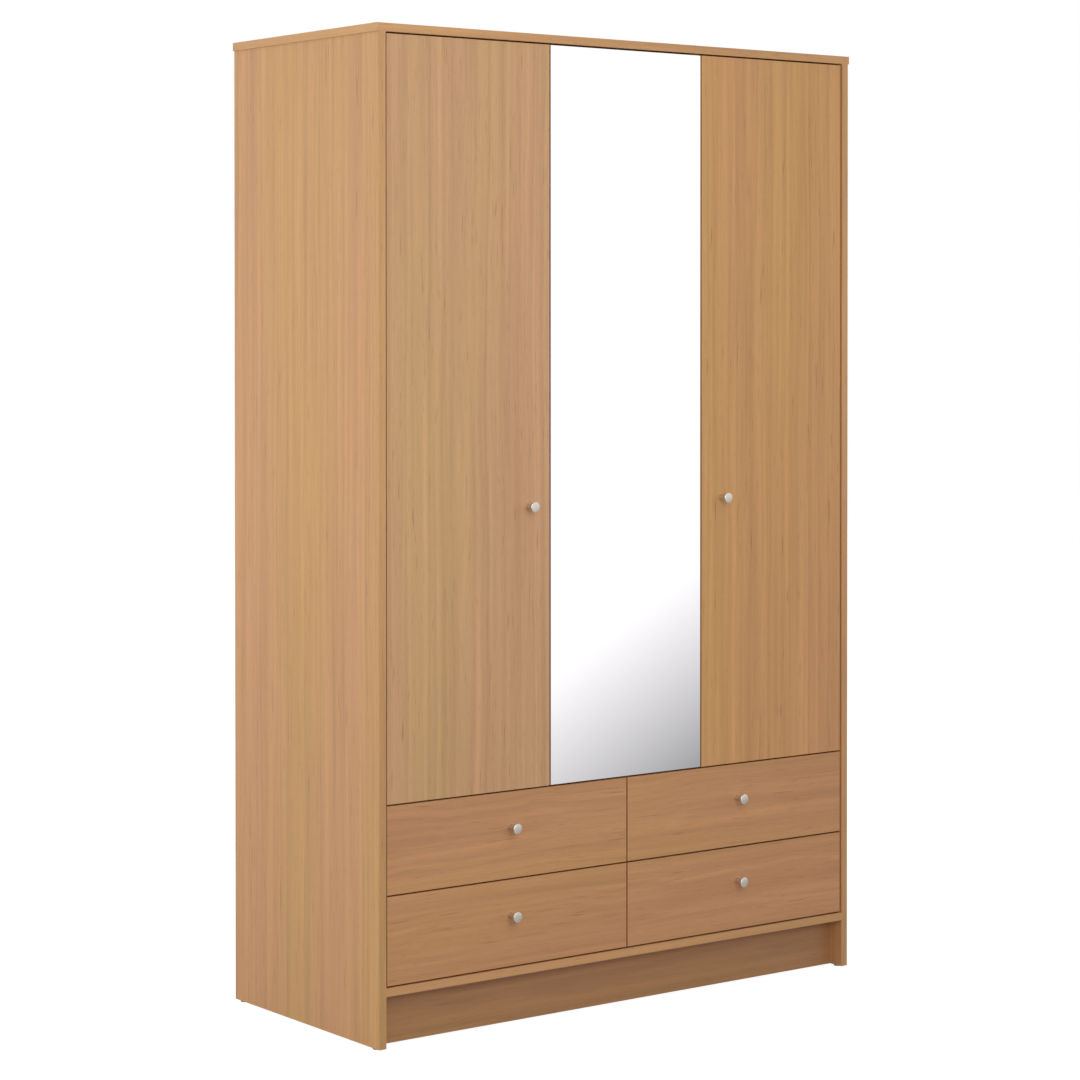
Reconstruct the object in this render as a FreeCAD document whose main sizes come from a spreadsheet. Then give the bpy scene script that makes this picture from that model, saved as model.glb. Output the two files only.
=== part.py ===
import FreeCAD, Part
import math
import os
from types import SimpleNamespace

import Sketcher

# A flat-pack wardrobe: three inset doors (the middle one a mirror) over four drawers.
# Millimetres. +X is to the right seen from the front, +Y to the back, +Z up.
# The origin is on the floor, at the middle of the overall box, knobs included.

DIMENSIONS = {
    # carcass
    "board": 15.0,
    "overall_height": 1805.0,
    "carcass_width": 1108.0,
    "carcass_depth": 493.0,
    "top_overhang": 3.0,
    "glide_height": 2.5,
    "glide_radius": 7.0,
    "glide_inset": 20.0,
    "plinth_top": 94.0,
    "plinth_recess": 33.5,
    "inner_setback": 19.0,
    "rear_clearance": 2.0,
    "back_sheet": 3.0,
    "back_edge_margin": 3.0,
    "strip_flange": 0.8,
    "strip_flange_width": 16.0,
    "strip_web": 1.2,
    # doors
    "reveal": 3.0,
    "door_inset": 2.0,
    "glass_thickness": 3.0,
    "glass_margin": 0.5,
    "door_knob_edge": 48.0,
    "door_knob_height": 513.0,
    # drawers
    "drawer_front_height": 157.0,
    "drawer_knob_rise": 14.0,
    "box_depth": 430.0,
    "box_side": 12.0,
    "box_side_height": 110.0,
    "box_back_height": 95.0,
    "box_lift": 20.0,
    "box_gap": 4.0,
    "bottom_sheet": 3.0,
    "bottom_groove": 4.0,
    "bottom_height": 8.0,
    "runner_length": 400.0,
    "runner_height": 16.0,
    "runner_depth": 10.0,
    "runner_start": 32.0,
    "runner_rise": 60.0,
    "runner_groove_height": 17.0,
    "runner_groove_depth": 7.0,
    # knobs and their screws
    "knob_reach": 24.0,
    "knob_base_radius": 6.0,
    "knob_foot": 1.0,
    "knob_foot_bow": 0.1,
    "knob_neck_radius": 5.2,
    "knob_neck_height": 6.5,
    "knob_flare_bow": 1.3,
    "knob_head_radius": 9.3,
    "knob_head_depth": 4.6,
    "knob_rim_round": 1.0,
    "knob_dome": 0.3,
    "knob_dome_bow": 0.075,
    "knob_screw_radius": 2.0,
    "knob_screw_hold": 10.0,
    "knob_screw_head_radius": 4.0,
    "knob_screw_head_height": 2.2,
    # hanging rail and shelves
    "rail_drop": 65.0,
    "rail_height": 30.0,
    "rail_width": 15.0,
    "rail_wall": 1.2,
    "socket_plate": 2.0,
    "socket_depth": 10.0,
    "socket_wall": 2.0,
    "socket_flange": 6.0,
    "shelf_setback": 20.0,
    "shelf_side_play": 1.0,
    "lower_shelf_height": 870.0,
    "upper_shelf_height": 1305.0,
    "shelf_pin_radius": 2.5,
    "shelf_pin_depth": 8.0,
    "shelf_pin_reach": 9.0,
    "shelf_pin_inset": 40.0,
    # cam fixings
    "cam_radius": 7.5,
    "cam_depth": 12.5,
    "cam_setback": 34.0,
    "cam_slot_length": 10.0,
    "cam_slot_width": 1.5,
    "cam_slot_depth": 2.0,
    "cam_row_inset": 60.0,
    "bolt_radius": 3.5,
    "bolt_head_gap": 3.0,
    "bolt_thread_radius": 3.0,
    "bolt_thread_length": 11.0,
    # concealed hinges: across runs from the door's hinge edge, back runs into the wardrobe
    "hinge_axis_edge": 3.0,
    "hinge_axis_face": 3.0,
    "hinge_end_distance": 110.0,
    "cup_centre": 22.5,
    "cup_radius": 17.5,
    "cup_wall": 1.5,
    "cup_floor": 1.0,
    "cup_depth": 11.5,
    "cup_rim_radius": 19.5,
    "cup_flange": 1.0,
    "cup_wing_width": 13.0,
    "hinge_screw_spacing": 48.0,
    "plate_screw_spacing": 32.0,
    "hinge_screw_radius": 1.75,
    "hinge_screw_length": 10.0,
    "hinge_screw_head_radius": 3.5,
    "hinge_screw_head_height": 1.5,
    "link_pivot_across": 8.59,
    "link_pivot_back": 18.18,
    "link_thickness": 2.0,
    "link_width": 8.0,
    "link_arm": 23.7,
    "link_slope": 16.5,
    "link_toe": 8.2,
    "link_bend": 62.3,
    "link_eye_radius": 3.6,
    "link_pin_radius": 1.5,
    "link_pin_play": 0.05,
    "arm_width": 13.0,
    "arm_channel": 9.0,
    "arm_nose_radius": 3.8,
    "arm_length": 76.0,
    "arm_neck": 40.0,
    "arm_web": 1.5,
    "arm_plate_gap": 0.5,
    "arm_throat": 8.0,
    "arm_nose_under": 3.3,
    "arm_nose_drop": 1.5,
    "arm_nose_over": 3.6,
    "arm_nose_rise": 1.0,
    "arm_nose_clear": 6.0,
    "arm_channel_step": 2.0,
    "arm_height": 9.0,
    "plate_thickness": 2.0,
    "plate_back": 42.0,
    "plate_long": 44.0,
    "plate_long_width": 16.0,
    "plate_wing": 16.0,
    "plate_wing_span": 46.0,
    "plate_rib_width": 8.6,
    # anti-tip brackets at the wall
    "bracket_offset": 350.0,
    "bracket_leg": 40.0,
    "bracket_width": 20.0,
    "bracket_thickness": 2.0,
    "bracket_hole_radius": 2.5,
    "bracket_hole_drop": 26.0,
    "bracket_screw_inset": 24.0,
    "bracket_screw_radius": 2.0,
    "bracket_screw_length": 12.0,
    "bracket_screw_head_radius": 4.0,
    "bracket_screw_head_height": 2.0,
}

Vector = FreeCAD.Vector
RIGHT = Vector(1, 0, 0)
LEFT = Vector(-1, 0, 0)
BACK = Vector(0, 1, 0)
FORWARD = Vector(0, -1, 0)
UP = Vector(0, 0, 1)
DOWN = Vector(0, 0, -1)

# how far a quarter circle bows from its chord, in radii
QUARTER_BOW = 1 - math.sqrt(0.5)
# how far a cutting tool overruns what it cuts
OVERRUN = 1.0
# how close two points are when they count as one
SAME_PLACE = 1e-6

doc = FreeCAD.newDocument("Wardrobe")
nodes = []


# ---------------------------------------------------------------- sizes
class Size:
    """A length that knows its value and the sheet expression that drives it."""

    def __init__(self, value, text):
        self.value = value
        self.text = text

    @staticmethod
    def of(other):
        """Return other as a Size, so that plain numbers can join the arithmetic."""
        if isinstance(other, Size):
            return other
        return Size(float(other), f"{float(other):.9g}")

    def __add__(self, other):
        other = Size.of(other)
        return Size(self.value + other.value, f"({self.text} + {other.text})")

    __radd__ = __add__

    def __sub__(self, other):
        other = Size.of(other)
        return Size(self.value - other.value, f"({self.text} - {other.text})")

    def __rsub__(self, other):
        return Size.of(other) - self

    def __mul__(self, other):
        other = Size.of(other)
        return Size(self.value * other.value, f"({self.text} * {other.text})")

    __rmul__ = __mul__

    def __truediv__(self, other):
        other = Size.of(other)
        return Size(self.value / other.value, f"({self.text} / {other.text})")

    def __neg__(self):
        return self * -1


def cosine(angle):
    """Return the cosine of an angle in degrees."""
    return Size(math.cos(math.radians(angle.value)), f"cos({angle.text} * 1 deg)")


def sine(angle):
    """Return the sine of an angle in degrees."""
    return Size(math.sin(math.radians(angle.value)), f"sin({angle.text} * 1 deg)")


def root(size):
    """Return the square root of a Size."""
    return Size(math.sqrt(size.value), f"sqrt({size.text})")


def fill_sheet():
    """Write the driving dimensions into the sheet and return them as Sizes."""
    sheet = doc.addObject("Spreadsheet::Sheet", "Sizes")
    sizes = {}
    for row, (alias, value) in enumerate(DIMENSIONS.items(), start=1):
        sheet.set(f"A{row}", alias)
        sheet.set(f"B{row}", str(value))
        sheet.setAlias(f"B{row}", alias)
        sizes[alias] = Size(value, f"Sizes.{alias}")
    doc.recompute()
    return SimpleNamespace(**sizes)


S = fill_sheet()


def derive_places():
    """Work out the planes and lines that several sub-parts share."""
    p = SimpleNamespace()
    knob_ahead = S.knob_reach - S.door_inset
    total_depth = knob_ahead + S.carcass_depth + S.back_sheet + S.strip_flange
    p.front = knob_ahead - total_depth / 2
    p.back = p.front + S.carcass_depth
    p.half_width = S.carcass_width / 2
    p.inner = p.half_width - S.board
    p.top_underside = S.overall_height - S.board
    p.base_top = S.plinth_top + S.board
    p.inner_front = p.front + S.inner_setback
    p.inner_back = p.back - S.rear_clearance
    p.door_face = p.front + S.door_inset
    p.door_back = p.door_face + S.board
    p.lower_row = p.base_top + S.reveal
    p.upper_row = p.lower_row + S.drawer_front_height + S.reveal
    p.door_bottom = p.upper_row + S.drawer_front_height + S.reveal
    p.door_top = p.top_underside - S.reveal
    p.shelf_bottom = p.door_bottom - S.reveal / 2 - S.board / 2
    p.shelf_top = p.shelf_bottom + S.board
    p.door_width = (p.inner * 2 - S.reveal * 4) / 3
    p.drawer_width = (p.inner * 2 - S.reveal * 3) / 2
    p.mirror_half = p.door_width / 2
    p.partition_middle = p.mirror_half + S.reveal / 2
    p.partition_left = p.partition_middle - S.board / 2
    p.partition_right = p.partition_middle + S.board / 2
    p.cam_rows = (p.front + S.cam_row_inset, p.back - S.cam_row_inset)
    p.hinge_back = p.door_face + S.hinge_axis_face
    p.hinge_heights = (
        p.door_bottom + S.hinge_end_distance,
        (p.door_bottom + p.door_top) / 2,
        p.door_top - S.hinge_end_distance,
    )
    return p


P = derive_places()


# ---------------------------------------------------------------- modelling helpers
def bind(feature, property_name, size):
    """Bind one property of a feature to the sheet."""
    feature.setExpression(property_name, Size.of(size).text)


def place(feature, position, rotation=None):
    """Set a feature's Placement and bind its position to the sheet."""
    corner = [Size.of(value) for value in position]
    base = Vector(*[size.value for size in corner])
    feature.Placement = FreeCAD.Placement(base, rotation or FreeCAD.Rotation())
    for axis, size in zip("xyz", corner):
        bind(feature, f"Placement.Base.{axis}", size)


def box(name, low, high):
    """Make a box between two corners."""
    feature = doc.addObject("Part::Box", name)
    spans = [Size.of(top) - Size.of(bottom) for bottom, top in zip(low, high)]
    for property_name, span in zip(("Length", "Width", "Height"), spans):
        bind(feature, property_name, span)
    place(feature, low)
    return feature


def cylinder(name, start, direction, radius, height):
    """Make a cylinder that runs from start along direction."""
    feature = doc.addObject("Part::Cylinder", name)
    bind(feature, "Radius", radius)
    bind(feature, "Height", height)
    place(feature, start, FreeCAD.Rotation(UP, direction))
    return feature


def join(name, kind, pieces):
    """Fuse pieces, or group them as a compound, in one feature."""
    feature = doc.addObject(kind, name)
    if kind == "Part::MultiFuse":
        feature.Shapes = pieces
    else:
        feature.Links = pieces
    return feature


def cut(name, base, tools):
    """Cut tools away from a base feature."""
    feature = doc.addObject("Part::Cut", name)
    feature.Base = base
    feature.Tool = tools[0] if len(tools) == 1 else join(f"{name}_tools", "Part::MultiFuse", tools)
    return feature


def copy_of(master, name, position, rotation=None):
    """Place a linked copy of a master feature."""
    link = doc.addObject("App::Link", name)
    link.LinkedObject = master
    place(link, position, rotation)
    return link


def keep(feature, label):
    """Mark a feature as a finished sub-part, written to its own file."""
    feature.Label = label
    nodes.append(feature)
    return feature


def keep_group(label, pieces):
    """Mark several separate solids as one sub-part."""
    return keep(join(f"{label}_group", "Part::Compound", pieces), label)


def along(point, direction, distance):
    """Return the point that lies a distance from point along a unit direction."""
    return tuple(value + distance * part for value, part in zip(point, direction))


# ---------------------------------------------------------------- sketch helpers
def new_sketch(body, name, role):
    """Add a sketch on one of the body's own origin planes."""
    sketch = body.newObject("Sketcher::SketchObject", name)
    plane = next(item for item in body.Origin.OriginFeatures if item.Role == role)
    sketch.AttachmentSupport = [(plane, "")]
    sketch.MapMode = "FlatFace"
    return sketch


def lock(sketch, kind, geometry, point, name, size):
    """Hold one coordinate of a sketch point to the sheet."""
    index = sketch.addConstraint(Sketcher.Constraint(kind, -1, 1, geometry, point, size.value))
    sketch.renameConstraint(index, name)
    bind(sketch, f"Constraints.{name}", size)


def add_edge(sketch, start, end, bow):
    """Add a line, or an arc that bows by a distance to the right of its run."""
    first = Vector(start[0].value, start[1].value, 0)
    last = Vector(end[0].value, end[1].value, 0)
    if bow is None:
        return sketch.addGeometry(Part.LineSegment(first, last), False)
    run = last - first
    side = Vector(run.y, -run.x, 0).normalize()
    middle = (first + last) * 0.5 + side * bow.value
    return sketch.addGeometry(Part.Arc(first, middle, last), False)


def end_points(sketch, geometry, start):
    """Return the ids of an edge's first and last point, in drawing order."""
    first = Vector(start[0].value, start[1].value, 0)
    begins_here = sketch.getPoint(geometry, 1).distanceToPoint(first) < SAME_PLACE
    return (1, 2) if begins_here else (2, 1)


def draw_outline(sketch, corners):
    """Draw a closed outline; each corner is (x, y) or (x, y, bow of the edge after it)."""
    points = [(Size.of(corner[0]), Size.of(corner[1])) for corner in corners]
    bows = [Size.of(corner[2]) if len(corner) > 2 else None for corner in corners]
    edges = []
    for index, (start, bow) in enumerate(zip(points, bows)):
        end = points[(index + 1) % len(points)]
        geometry = add_edge(sketch, start, end, bow)
        edges.append((geometry, *end_points(sketch, geometry, start)))
    for index, (geometry, _, last) in enumerate(edges):
        following, first, _ = edges[(index + 1) % len(edges)]
        sketch.addConstraint(Sketcher.Constraint("Coincident", geometry, last, following, first))
    for index, ((geometry, first, _), (x, y)) in enumerate(zip(edges, points)):
        lock(sketch, "DistanceX", geometry, first, f"x{index}", x)
        lock(sketch, "DistanceY", geometry, first, f"y{index}", y)
    for index, bow in enumerate(bows):
        if bow is not None:
            end = points[(index + 1) % len(points)]
            lock_bow(sketch, edges[index][0], points[index], end, bow, f"bow{index}")


def lock_bow(sketch, geometry, start, end, bow, name):
    """Hold an arc's centre on the chord's middle line, where the bow puts it."""
    run_x = end[0] - start[0]
    run_y = end[1] - start[1]
    chord = root(run_x * run_x + run_y * run_y)
    shift = (bow * bow - chord * chord / 4) / (bow * 2) / chord
    if abs(run_y.value) > abs(run_x.value):
        lock(sketch, "DistanceX", geometry, 3, name, (start[0] + end[0]) / 2 + run_y * shift)
    else:
        lock(sketch, "DistanceY", geometry, 3, name, (start[1] + end[1]) / 2 - run_x * shift)


def draw_circle(sketch, centre, radius):
    """Draw a circle held to the sheet."""
    x, y, size = (Size.of(value) for value in (*centre, radius))
    circle = Part.Circle(Vector(x.value, y.value, 0), UP, size.value)
    geometry = sketch.addGeometry(circle, False)
    lock(sketch, "DistanceX", geometry, 3, "centre_x", x)
    lock(sketch, "DistanceY", geometry, 3, "centre_y", y)
    index = sketch.addConstraint(Sketcher.Constraint("Radius", geometry, size.value))
    sketch.renameConstraint(index, "radius")
    bind(sketch, "Constraints.radius", size)


def centred_feature(body, kind, name, sketch, length):
    """Pad or pocket a sketch by the same amount on both sides of its plane."""
    feature = body.newObject(kind, name)
    feature.Profile = sketch
    feature.Midplane = True
    bind(feature, "Length", length)
    sketch.Visibility = False
    doc.recompute()
    return feature


def one_sided_pad(body, name, sketch, length):
    """Pad a sketch along its plane's own normal."""
    pad = body.newObject("PartDesign::Pad", name)
    pad.Profile = sketch
    bind(pad, "Length", length)
    doc.recompute()
    return pad


# ---------------------------------------------------------------- cam fixings
class Fixing:
    """A cam lock in a host board and the bolt that draws it to its mate."""

    def __init__(self, host, mate, seat, inward, run):
        self.host = host
        self.mate = mate
        self.seat = seat
        self.inward = inward
        self.run = run

    def bolt_axis(self):
        """Return the point of the bolt's axis under the middle of the cam."""
        return along(self.seat, self.inward, S.board / 2)

    def joint_point(self):
        """Return the point where the bolt crosses from the host to the mate."""
        return along(self.bolt_axis(), self.run, S.cam_setback)

    def rotation(self):
        """Turn a master whose X runs to the mate and whose Z runs into the board."""
        return FreeCAD.Rotation(self.run, self.inward.cross(self.run), self.inward, "ZXY")

    def host_holes(self, name):
        """Make the cam's seat and the bolt's hole for the host board."""
        seat = cylinder(f"{name}_seat", self.seat, self.inward, S.cam_radius, S.cam_depth)
        hole = cylinder(f"{name}_hole", self.joint_point(), self.run * -1, S.bolt_radius, S.cam_setback)
        return [seat, hole]

    def mate_hole(self, name):
        """Make the threaded end's hole for the mate."""
        start = self.joint_point()
        return [cylinder(f"{name}_thread", start, self.run, S.bolt_thread_radius, S.bolt_thread_length)]


def list_fixings():
    """List every cam fixing of the carcass."""
    fixings = []
    for side, outward in (("left", LEFT), ("right", RIGHT)):
        panel = f"{side}_side_panel"
        inner = P.inner * outward.x
        seat_x = (P.inner - S.cam_setback) * outward.x
        seat_top = P.top_underside - S.cam_setback
        plinth_middle = (S.glide_height + S.plinth_top) / 2
        plinth_front_face = P.front + S.plinth_recess + S.board
        plinth_rear_face = P.back - S.board * 2
        for row in P.cam_rows:
            fixings.append(Fixing(panel, "top_panel", (inner, row, seat_top), outward, UP))
            fixings.append(Fixing("base_panel", panel, (seat_x, row, S.plinth_top), UP, outward))
            fixings.append(Fixing("middle_shelf", panel, (seat_x, row, P.shelf_bottom), UP, outward))
        front_seat = (seat_x, plinth_front_face, plinth_middle)
        rear_seat = (seat_x, plinth_rear_face, plinth_middle)
        fixings.append(Fixing("plinth_front", panel, front_seat, FORWARD, outward))
        fixings.append(Fixing("plinth_rear", panel, rear_seat, BACK, outward))
    for row in P.cam_rows:
        high = (P.partition_right, row, P.top_underside - S.cam_setback)
        low = (P.partition_right, row, P.shelf_top + S.cam_setback)
        fixings.append(Fixing("wardrobe_partition", "top_panel", high, LEFT, UP))
        fixings.append(Fixing("wardrobe_partition", "middle_shelf", low, LEFT, DOWN))
        high = (S.board / 2, row, P.shelf_bottom - S.cam_setback)
        low = (S.board / 2, row, P.base_top + S.cam_setback)
        fixings.append(Fixing("drawer_partition", "middle_shelf", high, LEFT, UP))
        fixings.append(Fixing("drawer_partition", "base_panel", low, LEFT, DOWN))
    return fixings


FIXINGS = list_fixings()


def fixing_holes(board_name):
    """Make every cam and bolt hole that one board needs."""
    holes = []
    for index, fixing in enumerate(FIXINGS):
        name = f"{board_name}_cam{index}"
        if fixing.host == board_name:
            holes += fixing.host_holes(name)
        if fixing.mate == board_name:
            holes += fixing.mate_hole(name)
    return holes


def build_cam_hardware():
    """Make the cam locks and cam bolts, one copy of each at every fixing."""
    barrel = cylinder("cam_barrel", (0, 0, 0), UP, S.cam_radius, S.cam_depth)
    bolt_start = (S.bolt_head_gap, 0, S.board / 2)
    throat = cylinder("cam_throat", bolt_start, RIGHT, S.bolt_radius, S.cam_radius)
    half_long = S.cam_slot_length / 2
    half_wide = S.cam_slot_width / 2
    slot_a = box("cam_slot_a", (-half_long, -half_wide, 0), (half_long, half_wide, S.cam_slot_depth))
    slot_b = box("cam_slot_b", (-half_wide, -half_long, 0), (half_wide, half_long, S.cam_slot_depth))
    cam = cut("cam_master", barrel, [throat, slot_a, slot_b])
    shank_length = S.cam_setback - S.bolt_head_gap
    shank = cylinder("bolt_shank", bolt_start, RIGHT, S.bolt_radius, shank_length)
    thread_start = (S.cam_setback, 0, S.board / 2)
    thread = cylinder("bolt_thread", thread_start, RIGHT, S.bolt_thread_radius, S.bolt_thread_length)
    bolt = join("bolt_master", "Part::MultiFuse", [shank, thread])
    for label, master in (("cam_locks", cam), ("cam_bolts", bolt)):
        copies = []
        for index, fixing in enumerate(FIXINGS):
            copies.append(copy_of(master, f"{label}_{index}", fixing.seat, fixing.rotation()))
        keep_group(label, copies)


# ---------------------------------------------------------------- hinge places
class HingeSet:
    """The three hinges of one door: which board carries them and which way they face."""

    def __init__(self, door, carrier, axis_x, toward_middle, panel_offset):
        self.door = door
        self.carrier = carrier
        self.axis_x = axis_x
        self.toward_middle = toward_middle
        self.panel_offset = panel_offset

    def rotation(self):
        """Turn a master, drawn for a hinge at the left, to this door's side."""
        return FreeCAD.Rotation(UP, 0) if self.toward_middle > 0 else FreeCAD.Rotation(BACK, 180)

    def point(self, across, back, height):
        """Return the place that lies across and back from the hinge axis."""
        return (self.axis_x + Size.of(across) * self.toward_middle, P.hinge_back + back, height)

    def across_direction(self, sign):
        """Return the unit vector along +across or, with sign -1, against it."""
        return Vector(self.toward_middle * sign, 0, 0)


def list_hinge_sets():
    """List the hinge sets of the three doors."""
    outer_axis = P.inner - S.reveal - S.hinge_axis_edge
    mirror_axis = P.mirror_half - S.hinge_axis_edge
    inset_offset = -(S.reveal + S.hinge_axis_edge)
    overlay_offset = P.mirror_half - S.hinge_axis_edge - P.partition_left
    return [
        HingeSet("left", "left_side_panel", -outer_axis, 1, inset_offset),
        HingeSet("mirror", "wardrobe_partition", mirror_axis, -1, overlay_offset),
        HingeSet("right", "right_side_panel", outer_axis, -1, inset_offset),
    ]


HINGE_SETS = list_hinge_sets()
CUP_ACROSS = S.cup_centre - S.hinge_axis_edge
DOOR_BACK = S.board - S.hinge_axis_face


def carrier_holes(board_name):
    """Make the plate screws' holes for a board that carries hinges."""
    holes = []
    for hinge_set in HINGE_SETS:
        if hinge_set.carrier != board_name:
            continue
        for index, height in enumerate(P.hinge_heights):
            for side in (-1, 1):
                level = height + S.plate_screw_spacing / 2 * side
                start = hinge_set.point(hinge_set.panel_offset, S.plate_back, level)
                depth = S.hinge_screw_length - S.plate_thickness
                name = f"{board_name}_plate{index}_{side + 1}"
                into = hinge_set.across_direction(-1)
                holes.append(cylinder(name, start, into, S.hinge_screw_radius, depth))
    return holes


def cup_holes(hinge_set):
    """Make the cup seats and cup screws' holes for a door board."""
    holes = []
    for index, height in enumerate(P.hinge_heights):
        name = f"{hinge_set.door}_door_cup{index}"
        seat = hinge_set.point(CUP_ACROSS, DOOR_BACK, height)
        holes.append(cylinder(f"{name}_seat", seat, FORWARD, S.cup_radius, S.cup_depth))
        for side in (-1, 1):
            level = height + S.hinge_screw_spacing / 2 * side
            start = hinge_set.point(CUP_ACROSS, DOOR_BACK, level)
            depth = S.hinge_screw_length - S.cup_flange
            holes.append(cylinder(f"{name}_screw{side + 1}", start, FORWARD, S.hinge_screw_radius, depth))
    return holes


# ---------------------------------------------------------------- carcass
def shelf_pin_places():
    """List where the shelf pins start, and which way they point into the shelf bay."""
    rows = (P.inner_front + S.shelf_setback + S.shelf_pin_inset, P.inner_back - S.shelf_pin_inset)
    places = []
    for shelf_height in (S.lower_shelf_height, S.upper_shelf_height):
        level = shelf_height - S.shelf_pin_radius
        for row in rows:
            places.append(("wardrobe_partition", (P.partition_right, row, level), RIGHT))
            places.append(("right_side_panel", (P.inner, row, level), LEFT))
    return places


def shelf_pin_holes(board_name):
    """Make the shelf pins' holes for one board."""
    holes = []
    for index, (board, start, direction) in enumerate(shelf_pin_places()):
        if board == board_name:
            name = f"{board_name}_pin{index}"
            holes.append(cylinder(name, start, direction * -1, S.shelf_pin_radius, S.shelf_pin_depth))
    return holes


def drilled_board(label, low, high, extra_holes=()):
    """Make a board with its cam, hinge and shelf pin holes."""
    holes = fixing_holes(label) + carrier_holes(label) + shelf_pin_holes(label) + list(extra_holes)
    blank = box(f"{label}_blank", low, high)
    return keep(cut(f"{label}_drilled", blank, holes) if holes else blank, label)


def build_upright_boards():
    """Make the two sides and the two partitions."""
    side_low = S.glide_height
    left_low = (-P.half_width, P.front, side_low)
    drilled_board("left_side_panel", left_low, (-P.inner, P.back, P.top_underside))
    right_high = (P.half_width, P.back, P.top_underside)
    drilled_board("right_side_panel", (P.inner, P.front, side_low), right_high)
    partition_high = (P.partition_right, P.inner_back, P.top_underside)
    drilled_board("wardrobe_partition", (P.partition_left, P.inner_front, P.shelf_top), partition_high)
    half = S.board / 2
    drawer_high = (half, P.inner_back, P.shelf_bottom)
    drilled_board("drawer_partition", (-half, P.inner_front, P.base_top), drawer_high)


def build_level_boards():
    """Make the top, the base, the shelf over the drawers and the plinths."""
    reach = P.half_width + S.top_overhang
    top_low = (-reach, P.front, P.top_underside)
    drilled_board("top_panel", top_low, (reach, P.back, S.overall_height), bracket_screw_holes())
    drilled_board("base_panel", (-P.inner, P.front, S.plinth_top), (P.inner, P.back, P.base_top))
    shelf_low = (-P.inner, P.inner_front, P.shelf_bottom)
    drilled_board("middle_shelf", shelf_low, (P.inner, P.inner_back, P.shelf_top))
    front_face = P.front + S.plinth_recess
    plinth_low = (-P.inner, front_face, S.glide_height)
    drilled_board("plinth_front", plinth_low, (P.inner, front_face + S.board, S.plinth_top))
    rear_face = P.back - S.board
    rear_low = (-P.inner, rear_face - S.board, S.glide_height)
    drilled_board("plinth_rear", rear_low, (P.inner, rear_face, S.plinth_top))


def build_back_sheets():
    """Make the two hardboard sheets and the strip that joins them."""
    rear = P.back + S.back_sheet
    reach = P.half_width - S.back_edge_margin
    low = S.plinth_top + S.back_edge_margin
    high = S.overall_height - S.back_edge_margin
    seam = S.strip_web / 2
    for label, start, end in (("back_panel_left", -reach, -seam), ("back_panel_right", seam, reach)):
        sheet = box(f"{label}_blank", (start, P.back, low), (end, rear, high))
        hole_x = S.bracket_offset * (-1 if label == "back_panel_left" else 1)
        hole = wall_hole(f"{label}_hole", hole_x, P.back, S.back_sheet)
        keep(cut(f"{label}_drilled", sheet, [hole]), label)
    half = S.strip_flange_width / 2
    inner_flange = box(
        "strip_inner", (-half, P.back - S.strip_flange, P.shelf_top), (half, P.back, P.top_underside)
    )
    web = box("strip_web", (-seam, P.back, P.shelf_top), (seam, rear, P.top_underside))
    outer_high = (half, rear + S.strip_flange, P.top_underside)
    outer_flange = box("strip_outer", (-half, rear, P.shelf_top), outer_high)
    keep(join("back_strip_fused", "Part::MultiFuse", [inner_flange, web, outer_flange]), "back_panel_strip")


def build_glides():
    """Make the nail-on glides under the two sides."""
    side_x = P.half_width - S.board / 2
    front_row = P.front + S.glide_inset
    back_row = P.back - S.glide_inset
    places = [(x, row) for x in (-side_x, side_x) for row in (front_row, back_row)]
    glides = []
    for index, (x, y) in enumerate(places):
        glides.append(cylinder(f"glide_{index}", (x, y, 0), UP, S.glide_radius, S.glide_height))
    keep_group("foot_glides", glides)


# ---------------------------------------------------------------- wall brackets
def wall_hole(name, x, start_y, depth):
    """Make the hole for a wall screw, from start_y towards the wall."""
    level = P.top_underside - S.bracket_hole_drop
    return cylinder(name, (x, start_y, level), BACK, S.bracket_hole_radius, depth)


def bracket_screw_place(x):
    """Return where a bracket's screw enters the top panel."""
    return (x, P.back - S.bracket_screw_inset, P.top_underside)


def bracket_screw_holes():
    """Make the bracket screws' holes in the top panel."""
    holes = []
    for side in (-1, 1):
        start = bracket_screw_place(S.bracket_offset * side)
        name = f"top_bracket_hole{side + 1}"
        holes.append(cylinder(name, start, UP, S.bracket_screw_radius, S.bracket_screw_length))
    return holes


def build_wall_brackets():
    """Make the two anti-tip angle brackets with the screws that hold them to the top."""
    pieces = []
    for side in (-1, 1):
        name = f"bracket{side + 1}"
        x = S.bracket_offset * side
        low_x = x - S.bracket_width / 2
        high_x = x + S.bracket_width / 2
        under = P.top_underside - S.bracket_thickness
        level_low = (low_x, P.back - S.bracket_leg, under)
        level_leg = box(f"{name}_level", level_low, (high_x, P.back, P.top_underside))
        upright_low = (low_x, P.back - S.bracket_thickness, P.top_underside - S.bracket_leg)
        upright_leg = box(f"{name}_upright", upright_low, (high_x, P.back, P.top_underside))
        angle = join(f"{name}_angle", "Part::MultiFuse", [level_leg, upright_leg])
        wall = wall_hole(f"{name}_wall_hole", x, P.back - S.bracket_thickness, S.bracket_thickness)
        entry = bracket_screw_place(x)
        under_leg = along(entry, DOWN, S.bracket_thickness)
        screw_hole = cylinder(f"{name}_hole", under_leg, UP, S.bracket_screw_radius, S.bracket_thickness)
        pieces.append(cut(f"{name}_cut", angle, [wall, screw_hole]))
        length = S.bracket_thickness + S.bracket_screw_length
        shank = cylinder(f"{name}_shank", under_leg, UP, S.bracket_screw_radius, length)
        head = cylinder(
            f"{name}_head", under_leg, DOWN, S.bracket_screw_head_radius, S.bracket_screw_head_height
        )
        pieces.append(join(f"{name}_screw", "Part::MultiFuse", [shank, head]))
    keep_group("wall_brackets", pieces)


# ---------------------------------------------------------------- hanging rail and shelves
def oval(half_width, half_height):
    """Return the outline of an upright oval with round ends."""
    straight = half_height - half_width
    return [
        (half_width, -straight),
        (half_width, straight, half_width),
        (-half_width, straight),
        (-half_width, -straight, half_width),
    ]


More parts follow.
